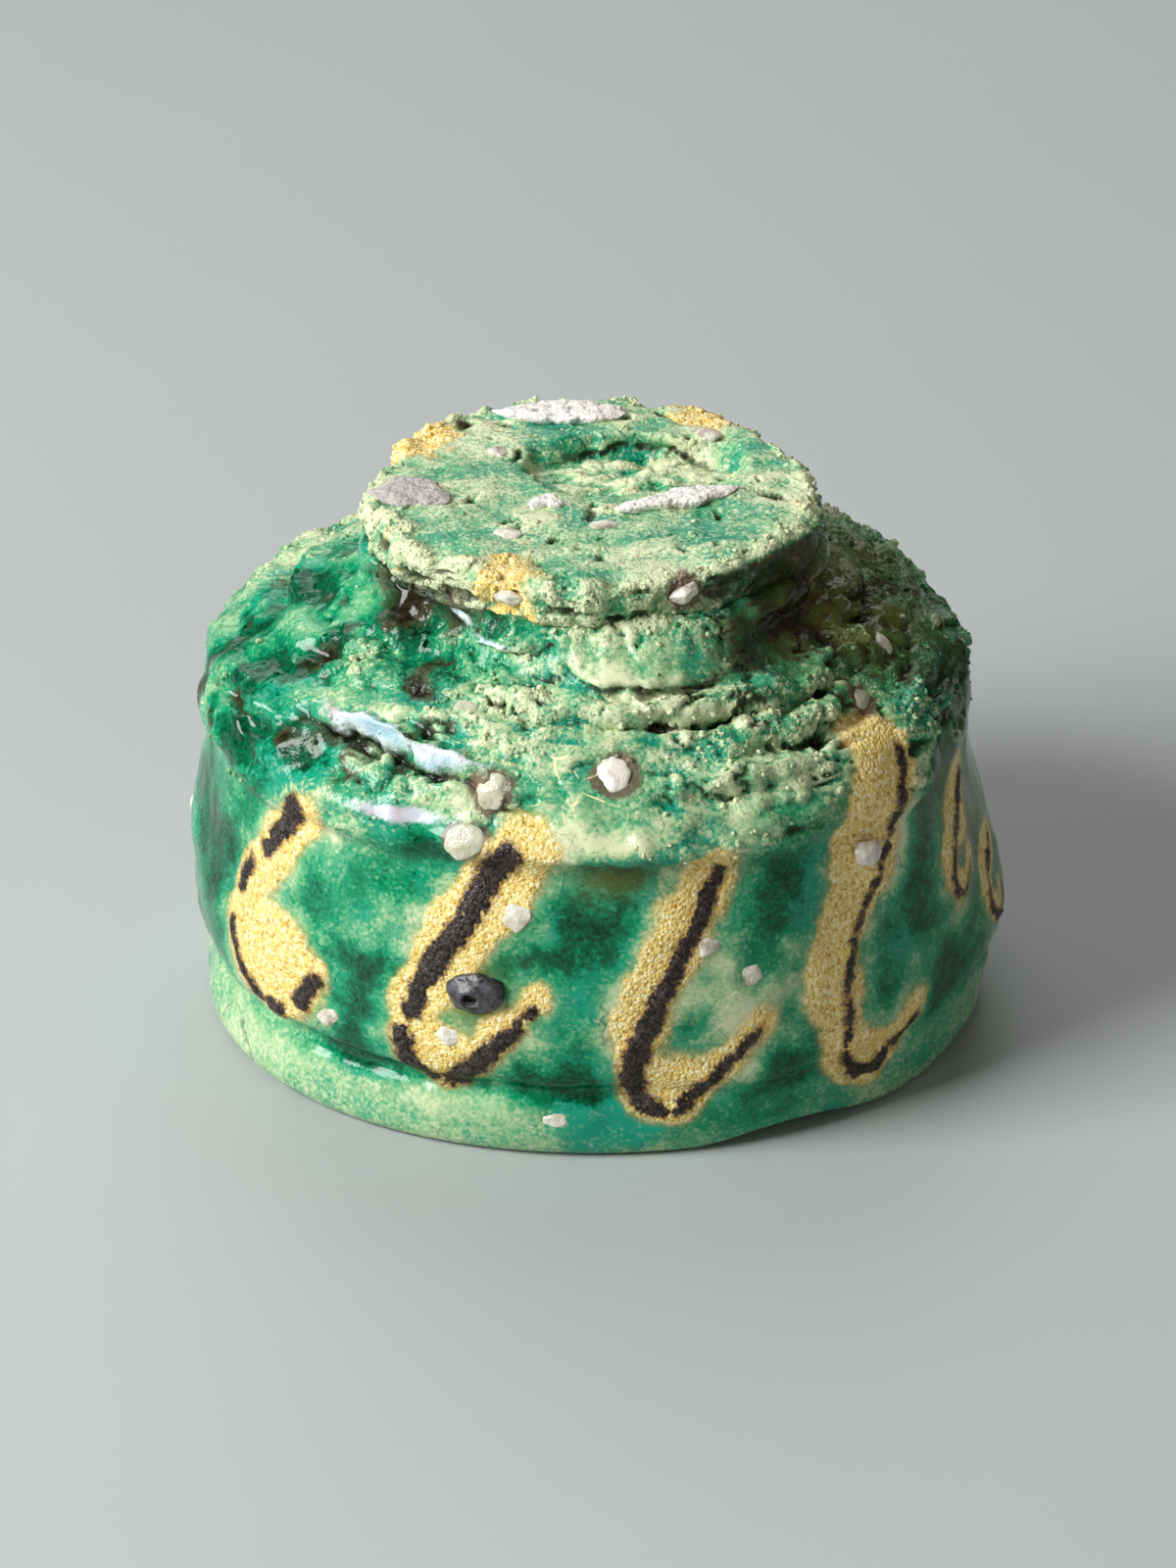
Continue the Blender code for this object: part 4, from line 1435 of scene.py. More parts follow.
    def dark(self) -> Array:
        """How dark the hollows are: soot and painted shade in crevices, seams and tears, and painted shade
        in hollows, under the pale ridge, under the foot and on the right side away from the light.

        Returns:
            About 0 to 1.
        """
        glossy, pebbly = self.glossy, self.pebbly
        # Painted shade in hollows, and soot with painted shade in crevices, seams and tears.
        hollow = unit(-self.small / (0.4 * MM))
        dark = self.torn * (0.9 * self.crevice + 0.8 * self.seam + 0.3 * hollow)
        dark += 0.85 * self.opening * self.on_outside
        # Painted shade in the glossy shoulder's broad hollows and on the right side away from the light.
        dark += 0.6 * glossy * smooth_step(0.45, 1.0, -self.broad / MM)
        dark += 0.6 * self.shady * self.gloomy
        dark += 0.6 * glossy * self.gloomy * smooth_step(-0.15, 0.25, pebbly)
        # Painted shade under the pale ridge, and the painted shade patches.
        dark += 0.9 * self.shown * bell(self.up + 0.1 * MM, 0.7 * MM)
        return dark + self.spread(PAINTED_SHADE_PATCHES, 0.5 * MM * pebbly) * (1 + 0.9 * pebbly)

    def olive_and_shade(self) -> Array:
        """How olive iron turns the glaze, also round the bead, with painted olive shade on the right side
        and under the foot.

        Returns:
            About 0 to 1.
        """
        olive_and_shade = self.spread(OLIVE_AND_SHADE_PATCHES) * (1 + 0.6 * self.lumps)
        low, high = solid_box("iron_bead")
        away = np.linalg.norm(self.points - (low + high) / 2, axis=-1)
        return olive_and_shade + bell(away, self.wall.bead_stain) * (1 + 0.8 * self.pebbly)

    def fields(self) -> dict[str, Array]:
        """What the glaze reads.

        Returns:
            Values by attribute name, rows by steps round.
        """
        dark = self.dark()
        shiny = 1 - self.milk_and_highlight
        return {
            "thin": np.clip(self.thin(), 0.12, 1),
            "dark": unit(dark * shiny),
            "yellow": np.clip(self.yellow / MM, *DEPTH_LIMITS),
            "iron": np.clip(self.iron / MM, *DEPTH_LIMITS),
            "gloss": unit(1 - self.torn * unit(0.35 + self.crumb)),
            "crumb": unit(self.crumb * (1 - unit(dark)) * shiny),
            "milk_and_highlight": self.milk_and_highlight,
            "vein": self.wall.veined.spread(self.skin.angle, self.height),
            "olive_and_shade": unit(self.olive_and_shade()),
            "stain": np.clip(stone_clearance(self.points, STAINED) / MM, *DEPTH_LIMITS),
        }


@dataclass
class CupFoot:
    """The foot: a torn disc with an off-centre recess, luted on to the collar."""

    form: CupForm
    radius: float = 18.7 * MM
    thickness: float = 3.4 * MM
    edge: float = 0.9 * MM
    draft: float = 0.3 * MM
    worn_degrees: float = 40
    worn_half_width: float = 24
    worn_share: float = 0.07
    recess_half_length: float = 9.8 * MM
    recess_half_width: float = 6.2 * MM
    recess_x: float = 3.1 * MM
    recess_y: float = 4.8 * MM
    recess_depth: float = 2.2 * MM
    recess_draft: float = 1.5 * MM
    slip: float = 0.3 * MM
    sunk: float = 0.8 * MM
    around: int = 480
    fine: float = 0.27 * MM
    coarse: float = 1.8 * MM
    rounding: float = 0.35 * MM
    stray: float = 1.1 * MM
    score_degrees: float = 16
    lump: float = 0.45 * MM
    score_height: float = 0.20 * MM
    crumb_size: float = 0.95 * MM
    crumb_height: float = 0.20 * MM
    pit_depth: float = 0.8 * MM
    gash_depth: float = 0.4 * MM
    scallop: float = 0.8 * MM
    slit_depth: float = 0.5 * MM
    grounds: tuple[tuple[float, float], ...] = ((58, 12), (150, 13), (-114, 9))

    def face_height(self) -> float:
        """Height of the flat face."""
        return self.form.neck_height + self.form.collar_height + self.slip + self.thickness

    def reach(self, angle: Array) -> Array:
        """Share of the radius that the uneven edge reaches at an angle.

        Args:
            angle: The angle.

        Returns:
            Shares round 1.
        """
        waves = 0.022 * np.cos(2 * (angle - 0.3)) + 0.020 * np.cos(5 * (angle + 0.35))
        waves = waves + 0.014 * np.cos(9 * (angle - 1.1))
        worn = sector(angle, self.worn_degrees, self.worn_half_width)
        return 1 + waves - self.worn_share * worn

    def skin(self) -> tuple[Surface, Array, Array]:
        """The plain disc.

        Returns:
            The skin, its angles and its turned radii.
        """
        face = self.face_height()
        low = face - self.thickness - self.slip - self.sunk
        recess = self.recess_half_length
        rim = self.radius - self.edge
        stations = np.array(
            [
                (0.0, face - self.recess_depth),
                (recess - self.recess_draft, face - self.recess_depth),
                (recess, face),
                (rim, face),
                (self.radius, face - self.edge),
                (self.radius - 0.5 * self.draft, face - 0.5 * self.thickness),
                (self.radius - self.draft - 0.4 * self.edge, low),
                (0.0, low),
            ]
        )
        lengths = lengths_along(stations)

        def step(along: Array) -> Array:
            """Distance between rows, wide where they aren't seen."""
            return np.where(along < lengths[-2], self.fine, self.coarse)

        grid = turned_grid(stations, self.rounding, self.around, step)
        angle, radius = grid.angle, grid.radius
        top = grid.along < lengths[3]
        inner = np.minimum(radius, recess)
        spoke = np.stack((np.cos(angle), np.sin(angle)), axis=-1)
        oval = np.array((1, self.recess_half_width / recess))
        hollow = np.array((self.recess_x, self.recess_y)) + inner[..., None] * spoke * oval
        share = unit((radius - recess) / (rim - recess))
        edge = rim * self.reach(angle)[..., None] * spoke
        outer = (radius * self.reach(angle))[..., None] * spoke
        flat = np.where(top[..., None], hollow + share[..., None] * (edge - hollow), outer)
        points = np.concatenate((flat, grid.height[..., None]), axis=-1)
        wander = np.stack([swells(points, 5, seed, 3) for seed in (Seed.RECESS_X, Seed.RECESS_Y)], axis=-1)
        held = smooth_step(recess, rim, radius)
        points[..., :2] += self.stray * wander * np.where(top, 1 - held, 0)[..., None]
        rear = 0.7 * self.recess_half_width
        back = smooth_step(-rear, rear, points[..., 1] - self.recess_y)
        sink = np.where(top, face - grid.height, 0)
        points[..., 2] += sink * (1 - (0.35 + 0.55 * back))
        return Surface(points), angle, radius

    def build(self, material: Material) -> Object:
        """Makes the foot's piece.

        Args:
            material: The glaze.

        Returns:
            The piece, which replaces the foot.
        """
        skin, angle, radius = self.skin()
        coat = FootCoat(self, skin, angle, radius)
        skin.points = coat.points + skin.normals() * (coat.relief * (1 - coat.buried))[..., None]
        mesh = skin.mesh("glazed_foot", coat.fields())
        return finished("glazed_foot", mesh, material, ["foot_ring"])


class FootCoat:
    """What lies on each point of the foot: scores, gashes, crumbs and the glaze over them."""

    def __init__(self, foot: CupFoot, skin: Surface, angle: Array, radius: Array) -> None:
        """Finds what lies where.

        Args:
            foot: The foot with its sizes.
            skin: Its plain form.
            angle: Angles of its points.
            radius: How far from the axis they are on the turned form.
        """
        self.foot = foot
        self.skin = skin
        self.angle = angle
        self.points = points = skin.points
        face, recess = foot.face_height(), foot.recess_half_length
        base = face - foot.thickness
        x, y, height = np.moveaxis(points, -1, 0)
        self.away = np.hypot(x, y)
        self.edge = smooth_step(foot.radius - 2.8 * MM, foot.radius - 0.9 * MM, self.away)
        self.flat = 1 - self.edge
        side = self.edge * (1 - smooth_step(face - 1.0 * MM, face - 0.4 * MM, height))
        self.buried = 1 - smooth_step(base - 0.7 * MM, base, height)
        self.right = sector(angle, -22, 36)
        self.shaded = side * sector(angle, -28, 33)

        self.lumps = swells(points, 5.5, Seed.FOOT_LUMPS, 3)
        self.pebbly = swells(points, 1.9, Seed.FOOT_PEBBLES, 3)
        slant = math.radians(foot.score_degrees)
        drawn = x * math.cos(slant) + y * math.sin(slant)
        athwart = y * math.cos(slant) - x * math.sin(slant)
        strokes = np.stack((drawn / (5 * MM), athwart / (2.0 * MM), height / (3 * MM)), axis=-1)
        self.scored = fractal_noise(strokes, Seed.SCORES, 4)
        ring = turned(4, angle, height / (1.1 * MM))
        self.gash = side * smooth_step(0.10, 0.45, fractal_noise(ring, Seed.GASHES, 3)) * (1 - self.right)
        self.dome, value = domes(points, foot.crumb_size, Seed.FOOT_CRUMBS)
        crumbly = 0.12 + 0.9 * self.edge * (1 - 0.7 * side * self.right) + 0.8 * self.pebbly
        self.crumb = unit(crumbly) * (0.3 + 0.7 * value)
        holes = swells(points, 2.4, Seed.PITS, 2) + 0.35 * self.scored
        self.pits = smooth_step(0.50, 0.75, holes) * self.flat
        slit = radius - recess + MM * (1.2 + 0.8 * self.pebbly)
        wall = bell(slit, 0.38 * MM) * (height > face - 3.0 * MM) * self.flat
        self.rear = wall * sector(angle, 84, 52) * smooth_step(-0.5, 0.2, self.lumps + self.pebbly)
        self.pocket = (1 - smooth_step(0.6 * recess, recess, radius)) * self.flat

        self.relief = self.raised()
        self.small = self.relief - skin.blurred(self.relief, 10)

    def raised(self) -> Array:
        """How far lumps, scores, crumbs and scallops stand out of the plain form.

        Returns:
            Lengths in metres.
        """
        foot = self.foot
        relief = foot.lump * self.lumps + foot.score_height * self.scored * self.flat
        relief += MM * self.pocket * (0.40 * self.pebbly + 0.45 * self.scored)
        relief += foot.crumb_height * self.crumb * (self.dome - 0.3)
        relief = relief - foot.pit_depth * self.pits - foot.gash_depth * self.gash
        scalloped = 0.6 * self.pebbly + 0.9 * swells(self.points, 3.6, Seed.SCALLOPS, 2)
        relief += foot.scallop * self.edge * scalloped * (1 - 0.6 * self.right)
        return relief - foot.slit_depth * self.rear

    def thin(self) -> Array:
        """How thin the glaze lies, lowered also for painted shade on the side away from the light.

        Returns:
            About 0 in its pools to 1 on its edges.
        """
        thin = 0.67 + 0.32 * swells(self.points, 6.0, Seed.FOOT_MOTTLE, 3) + 0.10 * self.crumb
        thin = thin + 0.12 * self.edge + 0.16 * self.scored + 0.6 * self.small / MM - 0.85 * self.shaded
        return thin + self.pocket * (0.06 + 0.25 * self.pebbly + 0.40 * self.scored)

    def dark(self) -> Array:
        """How dark the foot is: soot and painted shade in pits and gashes, and painted shade in the slit
        under the recess's back, in hollows, where the foot meets the collar and on the side away from the
        light.

        Returns:
            About 0 to 1.
        """
        # Painted shade in pits, gashes, the rear slit, hollows, the join with the collar and the shaded
        # side.
        hollow = unit(-self.small / (0.4 * MM))
        dark = self.pits + 0.6 * self.gash + 1.2 * self.rear + 0.35 * hollow
        return dark + 0.8 * self.buried * (1 - self.right) + 0.65 * self.shaded

    def yellow(self) -> Array:
        """How deep each point lies inside a yellow ground.

        Returns:
            Depths in millimetres, negative outside.
        """
        radius = self.foot.radius
        outer = smooth_step(radius - 5.5 * MM, radius - 2.5 * MM, self.away)
        yellow = np.full(outer.shape, DEPTH_LIMITS[0])
        for degrees, half_width in self.foot.grounds:
            near = sector(self.angle, degrees, half_width) * outer
            yellow = np.maximum(yellow, 2.4 * near - 1.4 + 1.3 * self.pebbly)
        return yellow

    def fields(self) -> dict[str, Array]:
        """What the glaze reads.

        Returns:
            Values by attribute name, rows by steps round.
        """
        dark = unit(self.dark())
        none = np.zeros(dark.shape)
        return {
            "thin": unit(self.thin()),
            "dark": dark,
            "yellow": np.clip(self.yellow(), *DEPTH_LIMITS),
            "iron": none + DEPTH_LIMITS[0],
            "gloss": unit(0.5 - 0.5 * self.crumb),
            "crumb": unit(self.crumb * (1 - dark) * (0.35 + 0.65 * self.edge)),
            "milk_and_highlight": none,
            "vein": none,
            # The side away from the light is painted olive as shade.
            "olive_and_shade": unit(0.7 * self.shaded),
            "stain": np.clip(stone_clearance(self.skin.points, STAINED) / MM, *DEPTH_LIMITS),
        }


def lump_mesh(name: str, shaped: Callable[[Array], Array], detail: int) -> Mesh:
    """A closed lump: a ball whose points are moved.

    Args:
        name: Name of the mesh.
        shaped: Gives the places of the points of a ball of radius 1.
        detail: How often the ball is subdivided.

    Returns:
        The smooth mesh.
    """
    form = bmesh.new()
    bmesh.ops.create_icosphere(form, subdivisions=detail, radius=1)
    places = shaped(np.array([vertex.co for vertex in form.verts]))
    for vertex, place in zip(form.verts, places):
        vertex.co = place
    bmesh.ops.recalc_face_normals(form, faces=form.faces)
    mesh = bpy.data.meshes.new(name)
    form.to_mesh(mesh)
    form.free()
    mesh.shade_smooth()
    return mesh


@dataclass
class BeddedStones:
    """Feldspar stones that stand a little out of the clay, each in the place of its solid."""

    rough: float = 0.12
    facets: int = 14
    shallowest: float = 0.95
    deepest: float = 0.72
    raised: float = 0.7 * MM
    pressed: float = 0.50
    glazed_press: float = 0.15
    tone: float = 0.80
    brighter: float = 0.20
    duller: float = 0.45
    detail: int = 4
    proud: tuple[str, ...] = ("stone_gold_patch",)
    bright: tuple[str, ...] = ("stone_gold_patch", "stone_shoulder_front", "stone_side_right")
    glazed: tuple[str, ...] = ("stone_ledge_high", "stone_ledge_low", "stone_shoulder_low", "stone_gouge")

    def build(self, material: Material) -> None:
        """Makes one piece for each stone.

        Args:
            material: The stone's finish.
        """
        for seed, name in enumerate(solids("stone_")):
            mesh = lump_mesh(name + "_bedded", self.shape(name, seed), self.detail)
            tone = self.tone + self.brighter * (name in self.bright) - self.duller * (name in self.glazed)
            store(mesh, "bright", np.full(len(mesh.vertices), tone))
            finished(name + "_bedded", mesh, material, [name])

    def shape(self, name: str, seed: int) -> Callable[[Array], Array]:
        """How a ball becomes one stone, uneven and chipped, in the place of its solid.

        Args:
            name: The stone's solid.
            seed: Which chips to give it.

        Returns:
            What moves the points of a ball of radius 1.
        """
        places = solid_points(name)
        centre = places.mean(axis=0)
        axes = np.linalg.svd(np.unique(np.round(places - centre, 7), axis=0), full_matrices=False)[2]
        half = np.abs((places - centre) @ axes.T).max(axis=0)
        aligned = axes @ (centre - np.array((0, 0, centre[2] / 2)))
        best = np.argmax(np.abs(aligned))
        out = axes[best] * np.sign(aligned[best])
        pressed = 1.0 if name in self.proud else self.pressed - self.glazed_press * (name in self.glazed)
        middle = centre + self.raised * (name in self.proud) * out
        chance = np.random.default_rng(seed)
        cuts = chance.normal(size=(self.facets, 3))
        cuts = cuts / np.linalg.norm(cuts, axis=1, keepdims=True)
        depths = chance.uniform(self.deepest, self.shallowest, self.facets)

        def shaped(ball: Array) -> Array:
            """Splits facets off the ball, and presses its outer half flatter into the clay.

            Args:
                ball: Points of the ball.

            Returns:
                Their places on the stone.
            """
            faced = np.min(depths / np.maximum(ball @ cuts.T, 1e-3), axis=1)
            uneven = fractal_noise(1.2 * ball + 17.0 * seed, Seed.STONES, 3)
            lumpy = np.minimum(faced, 1) * (1 + self.rough * uneven)
            spot = (ball * lumpy[:, None] * half) @ axes
            proud = np.maximum(spot @ out, 0)
            return middle + spot - (1 - pressed) * proud[:, None] * out

        return shaped


@dataclass
class IronBead:
    """The drop of iron on the wall, with the pinhole that a bubble left."""

    wide: float = 1.30
    tall: float = 0.98
    proud: float = 0.66
    pinhole: float = 0.26
    detail: int = 5

    def build(self, material: Material) -> None:
        """Makes the bead's piece from its solid's place and direction.

        Args:
            material: The iron's finish.
        """
        mesh = lump_mesh("iron_bead_glazed", self.shaped, self.detail)
        finished("iron_bead_glazed", mesh, material, ["iron_bead"])

    def shaped(self, ball: Array) -> Array:
        """Moves a ball's points to the flattened bead.

        Args:
            ball: Points of the ball.

        Returns:
            Their places on the bead.
        """
        low, high = solid_box("iron_bead")
        centre = (low + high) / 2
        radius = 0.5 * (high - low).max()
        out = np.array((centre[0], centre[1], 0)) / np.hypot(centre[0], centre[1])
        up = np.array((0.0, 0.0, 1.0))
        side = np.cross(up, out)
        lumpy = 1 + 0.13 * fractal_noise(1.4 * ball, Seed.BEAD, 3)
        off = np.hypot(ball[:, 0] + 0.04, ball[:, 1] + 0.08)
        front = ball[:, 2] > 0
        hole = np.where(front, 1 - smooth_step(0.5 * self.pinhole, self.pinhole, off), 0)
        collar = np.where(front, bell(off - 1.5 * self.pinhole, 0.6 * self.pinhole), 0)
        places = ball * lumpy[:, None] * np.array((self.wide, self.tall, self.proud))
        places[:, 2] += 0.08 * collar - 0.75 * hole
        return centre + radius * (places[:, :1] * side + places[:, 1:2] * up + places[:, 2:] * out)


@dataclass
class KilnWads:
    """Flakes of wad clay stuck to the foot's face, torn off when the cup came out of the kiln."""

    sink: float = 0.7 * MM
    crumble: float = 0.5 * MM
    detail: float = 0.16 * MM
    around: int = 128
    sooted: tuple[str, ...] = ("kiln_wad_left",)

    def build(self, material: Material) -> None:
        """Makes one piece for each flake.

        Args:
            material: The wad clay.
        """
        for seed, name in enumerate(solids("kiln_wad_")):
            skin, crust = self.skin(name, seed)
            fields = {"crust": crust, "pale": np.full(crust.shape, float(name not in self.sooted))}
            finished(name + "_flake", skin.mesh(name + "_flake", fields), material, [name])

    def skin(self, name: str, seed: int) -> tuple[Surface, Array]:
        """One flake, rough on top and crumbling at its edge.

        Args:
            name: The flake's solid.
            seed: Which crumbling to give it.

        Returns:
            The skin, and how much of its crust is left.
        """
        places = solid_points(name)
        low, high = places[:, 2].min(), places[:, 2].max()
        outline = np.unique(np.round(places[:, :2], 7), axis=0)
        middle = outline.mean(axis=0)
        spokes = outline - middle
        bearing = np.arctan2(spokes[:, 1], spokes[:, 0])
        order = np.argsort(bearing)
        span = np.hypot(spokes[:, 0], spokes[:, 1])[order]
        turn = np.arange(self.around) * FULL_TURN / self.around - math.pi
        reach = np.interp(turn, bearing[order], span, period=FULL_TURN)
        rings = max(8, int(span.max() / self.detail))
        share = np.concatenate((np.linspace(0, 1, rings), np.linspace(1, 0, 5)[1:]))[:, None]
        top = np.arange(len(share))[:, None] < rings
        spoke = np.stack((np.cos(turn), np.sin(turn)), axis=-1)
        flat = middle + (share * reach)[..., None] * spoke
        points = np.concatenate((flat, np.full((*flat.shape[:2], 1), low)), axis=-1)
        ragged = self.crumble * fractal_noise(points / (1.3 * MM) + 31.0 * seed, Seed.WAD_EDGE, 3)
        points[..., :2] += (ragged * share)[..., None] * spoke
        crust = fractal_noise(points / (0.9 * MM) + 13.0 * seed, Seed.WAD_CRUST, 4)
        slope = fractal_noise(points / (4.0 * MM) + 7.0 * seed, Seed.WAD_SLOPE, 2)
        full = unit(1 - share**5)
        upper = low + (high - low) * (0.10 + 0.42 * full + 0.16 * crust + 0.22 * slope)
        points[..., 2] = np.where(top, upper, low - self.sink)
        return Surface(points), crust


@dataclass
class ClayCrumbs:
    """Loose crumbs of coarse clay and quartz that the glaze stuck down, scattered on a skin."""

    density: float = 2.4e6
    smallest: float = 0.08 * MM
    largest: float = 0.40 * MM
    seed: int = 7

    @staticmethod
    def tree() -> Tree:
        """The scatter: crumbs lie thickest where the skin's own attribute says so.

        Returns:
            The node group.
        """
        tree = bpy.data.node_groups.new("scattered_crumbs", "GeometryNodeTree")
        bench = NodeBench(tree)
        bench.socket("Skin", "Geometry")
        for name in ("Density", "Smallest", "Largest"):
            bench.socket(name, "Float")
        bench.socket("Seed", "Int")
        bench.socket("Finish", "Material")
        bench.socket("Crumbs", "Geometry", "OUTPUT")
        start = bench.values("NodeGroupInput")
        seed = start["Seed"]

        def stored(name: str) -> Value:
            """A value that the skin carries."""
            return bench.value("GeometryNodeInputNamedAttribute", {"Name": name}, "Attribute")

        def chance(low: float, high: float, shift: int) -> Value:
            """A random value for each crumb."""
            return bench.value("FunctionNodeRandomValue", {2: low, 3: high, "Seed": seed + shift}, 1)

        def chances(low: Triple, high: Triple) -> Value:
            """Three random values for each crumb."""
            return bench.value("FunctionNodeRandomValue", {0: low, 1: high}, data_type="FLOAT_VECTOR")

        inputs = {"Mesh": start["Skin"], "Density": stored("crumb") * start["Density"], "Seed": seed}
        spots = bench.value("GeometryNodeDistributePointsOnFaces", inputs, "Points")
        inputs = {"Geometry": spots, "Name": "thin", "Value": stored("thin") + chance(-0.08, 0.34, 1)}
        spots = bench.value("GeometryNodeStoreNamedAttribute", inputs, domain="POINT", data_type="FLOAT")
        small = bench.math("POWER", chance(0.0, 1.0, 2), 2.2)
        size = (start["Largest"] - start["Smallest"]) * small + start["Smallest"]
        inputs = {0: chances((0.7, 0.7, 0.6), (1.3, 1.3, 1.1)), "Scale": size}
        inputs = {
            "Points": spots,
            "Instance": bench.value("GeometryNodeMeshIcoSphere", {"Radius": 1.0, "Subdivisions": 1}),
            "Rotation": chances((0.0, 0.0, 0.0), (6.28, 6.28, 6.28)),
            "Scale": bench.value("ShaderNodeVectorMath", inputs, operation="SCALE"),
        }
        crumbs = bench.value("GeometryNodeInstanceOnPoints", inputs)
        loose = bench.value("GeometryNodeRealizeInstances", {"Geometry": crumbs})
        coated = bench.value("GeometryNodeSetMaterial", {"Geometry": loose, "Material": start["Finish"]})
        bench.add("NodeGroupOutput", {"Crumbs": coated})
        return tree

    def build(self, name: str, skin: Object, tree: Tree) -> None:
        """Makes the crumbs of one skin.

        Args:
            name: Name of the piece.
            skin: The piece that the crumbs lie on.
            tree: The scatter.
        """
        glaze = skin.data.materials[0]
        bed = placed(name + "_bed", skin.data)
        scatter = bed.modifiers.new("scatter", "NODES")
        scatter.node_group = tree
        values = {
            "Density": self.density,
            "Smallest": self.smallest,
            "Largest": self.largest,
            "Seed": self.seed,
            "Finish": glaze,
        }
        for item in tree.interface.items_tree:
            if item.name in values:
                scatter[item.identifier] = values[item.name]
        graph = bpy.context.evaluated_depsgraph_get()
        mesh = bpy.data.meshes.new_from_object(bed.evaluated_get(graph), depsgraph=graph)
        bpy.data.objects.remove(bed)
        mesh.shade_flat()
        finished(name, mesh, glaze, [])


def grain_group() -> Tree:
    """The grain that all the clays and glazes share.

    Returns:
        A shader group with cloudy, grainy and speckled values, and with crystals that each have a
        value of their own and swell in their middle, all from 0 to 1.
    """
    tree = bpy.data.node_groups.new("clay_grain", "ShaderNodeTree")
    bench = NodeBench(tree)
    bench.socket("Place", "Vector")
    for name in GRAIN_SIZES:
        bench.socket(name, "Float")
    for name in ("Cloud", "Grain", "Speck", "Crystal", "Swell"):
        bench.socket(name, "Float", "OUTPUT")
    start = bench.values("NodeGroupInput")
    place = start["Place"]

    def noise(size: str, share: float, detail: float) -> Value:
        """Noise with swells of a share of a size."""
        inputs = {"Vector": place, "Scale": bench.math("DIVIDE", 1 / share, start[size])}
        return bench.value("ShaderNodeTexNoise", {**inputs, "Detail": detail, "Roughness": 0.6}, "Fac")

    scale = bench.math("DIVIDE", 1.0, start["Crystal Size"])
    cells = bench.values("ShaderNodeTexVoronoi", {"Vector": place, "Scale": scale})
    values = {
        "Cloud": noise("Cloud Size", 1.0, 4.0),
        "Grain": noise("Grain Size", 1.0, 2.0),
        "Speck": noise("Grain Size", 0.42, 1.0),
        "Crystal": bench.value("ShaderNodeSeparateColor", {"Color": cells["Color"]}),
        "Swell": 1.0 - cells["Distance"],
    }
    bench.add("NodeGroupOutput", values)
    return tree


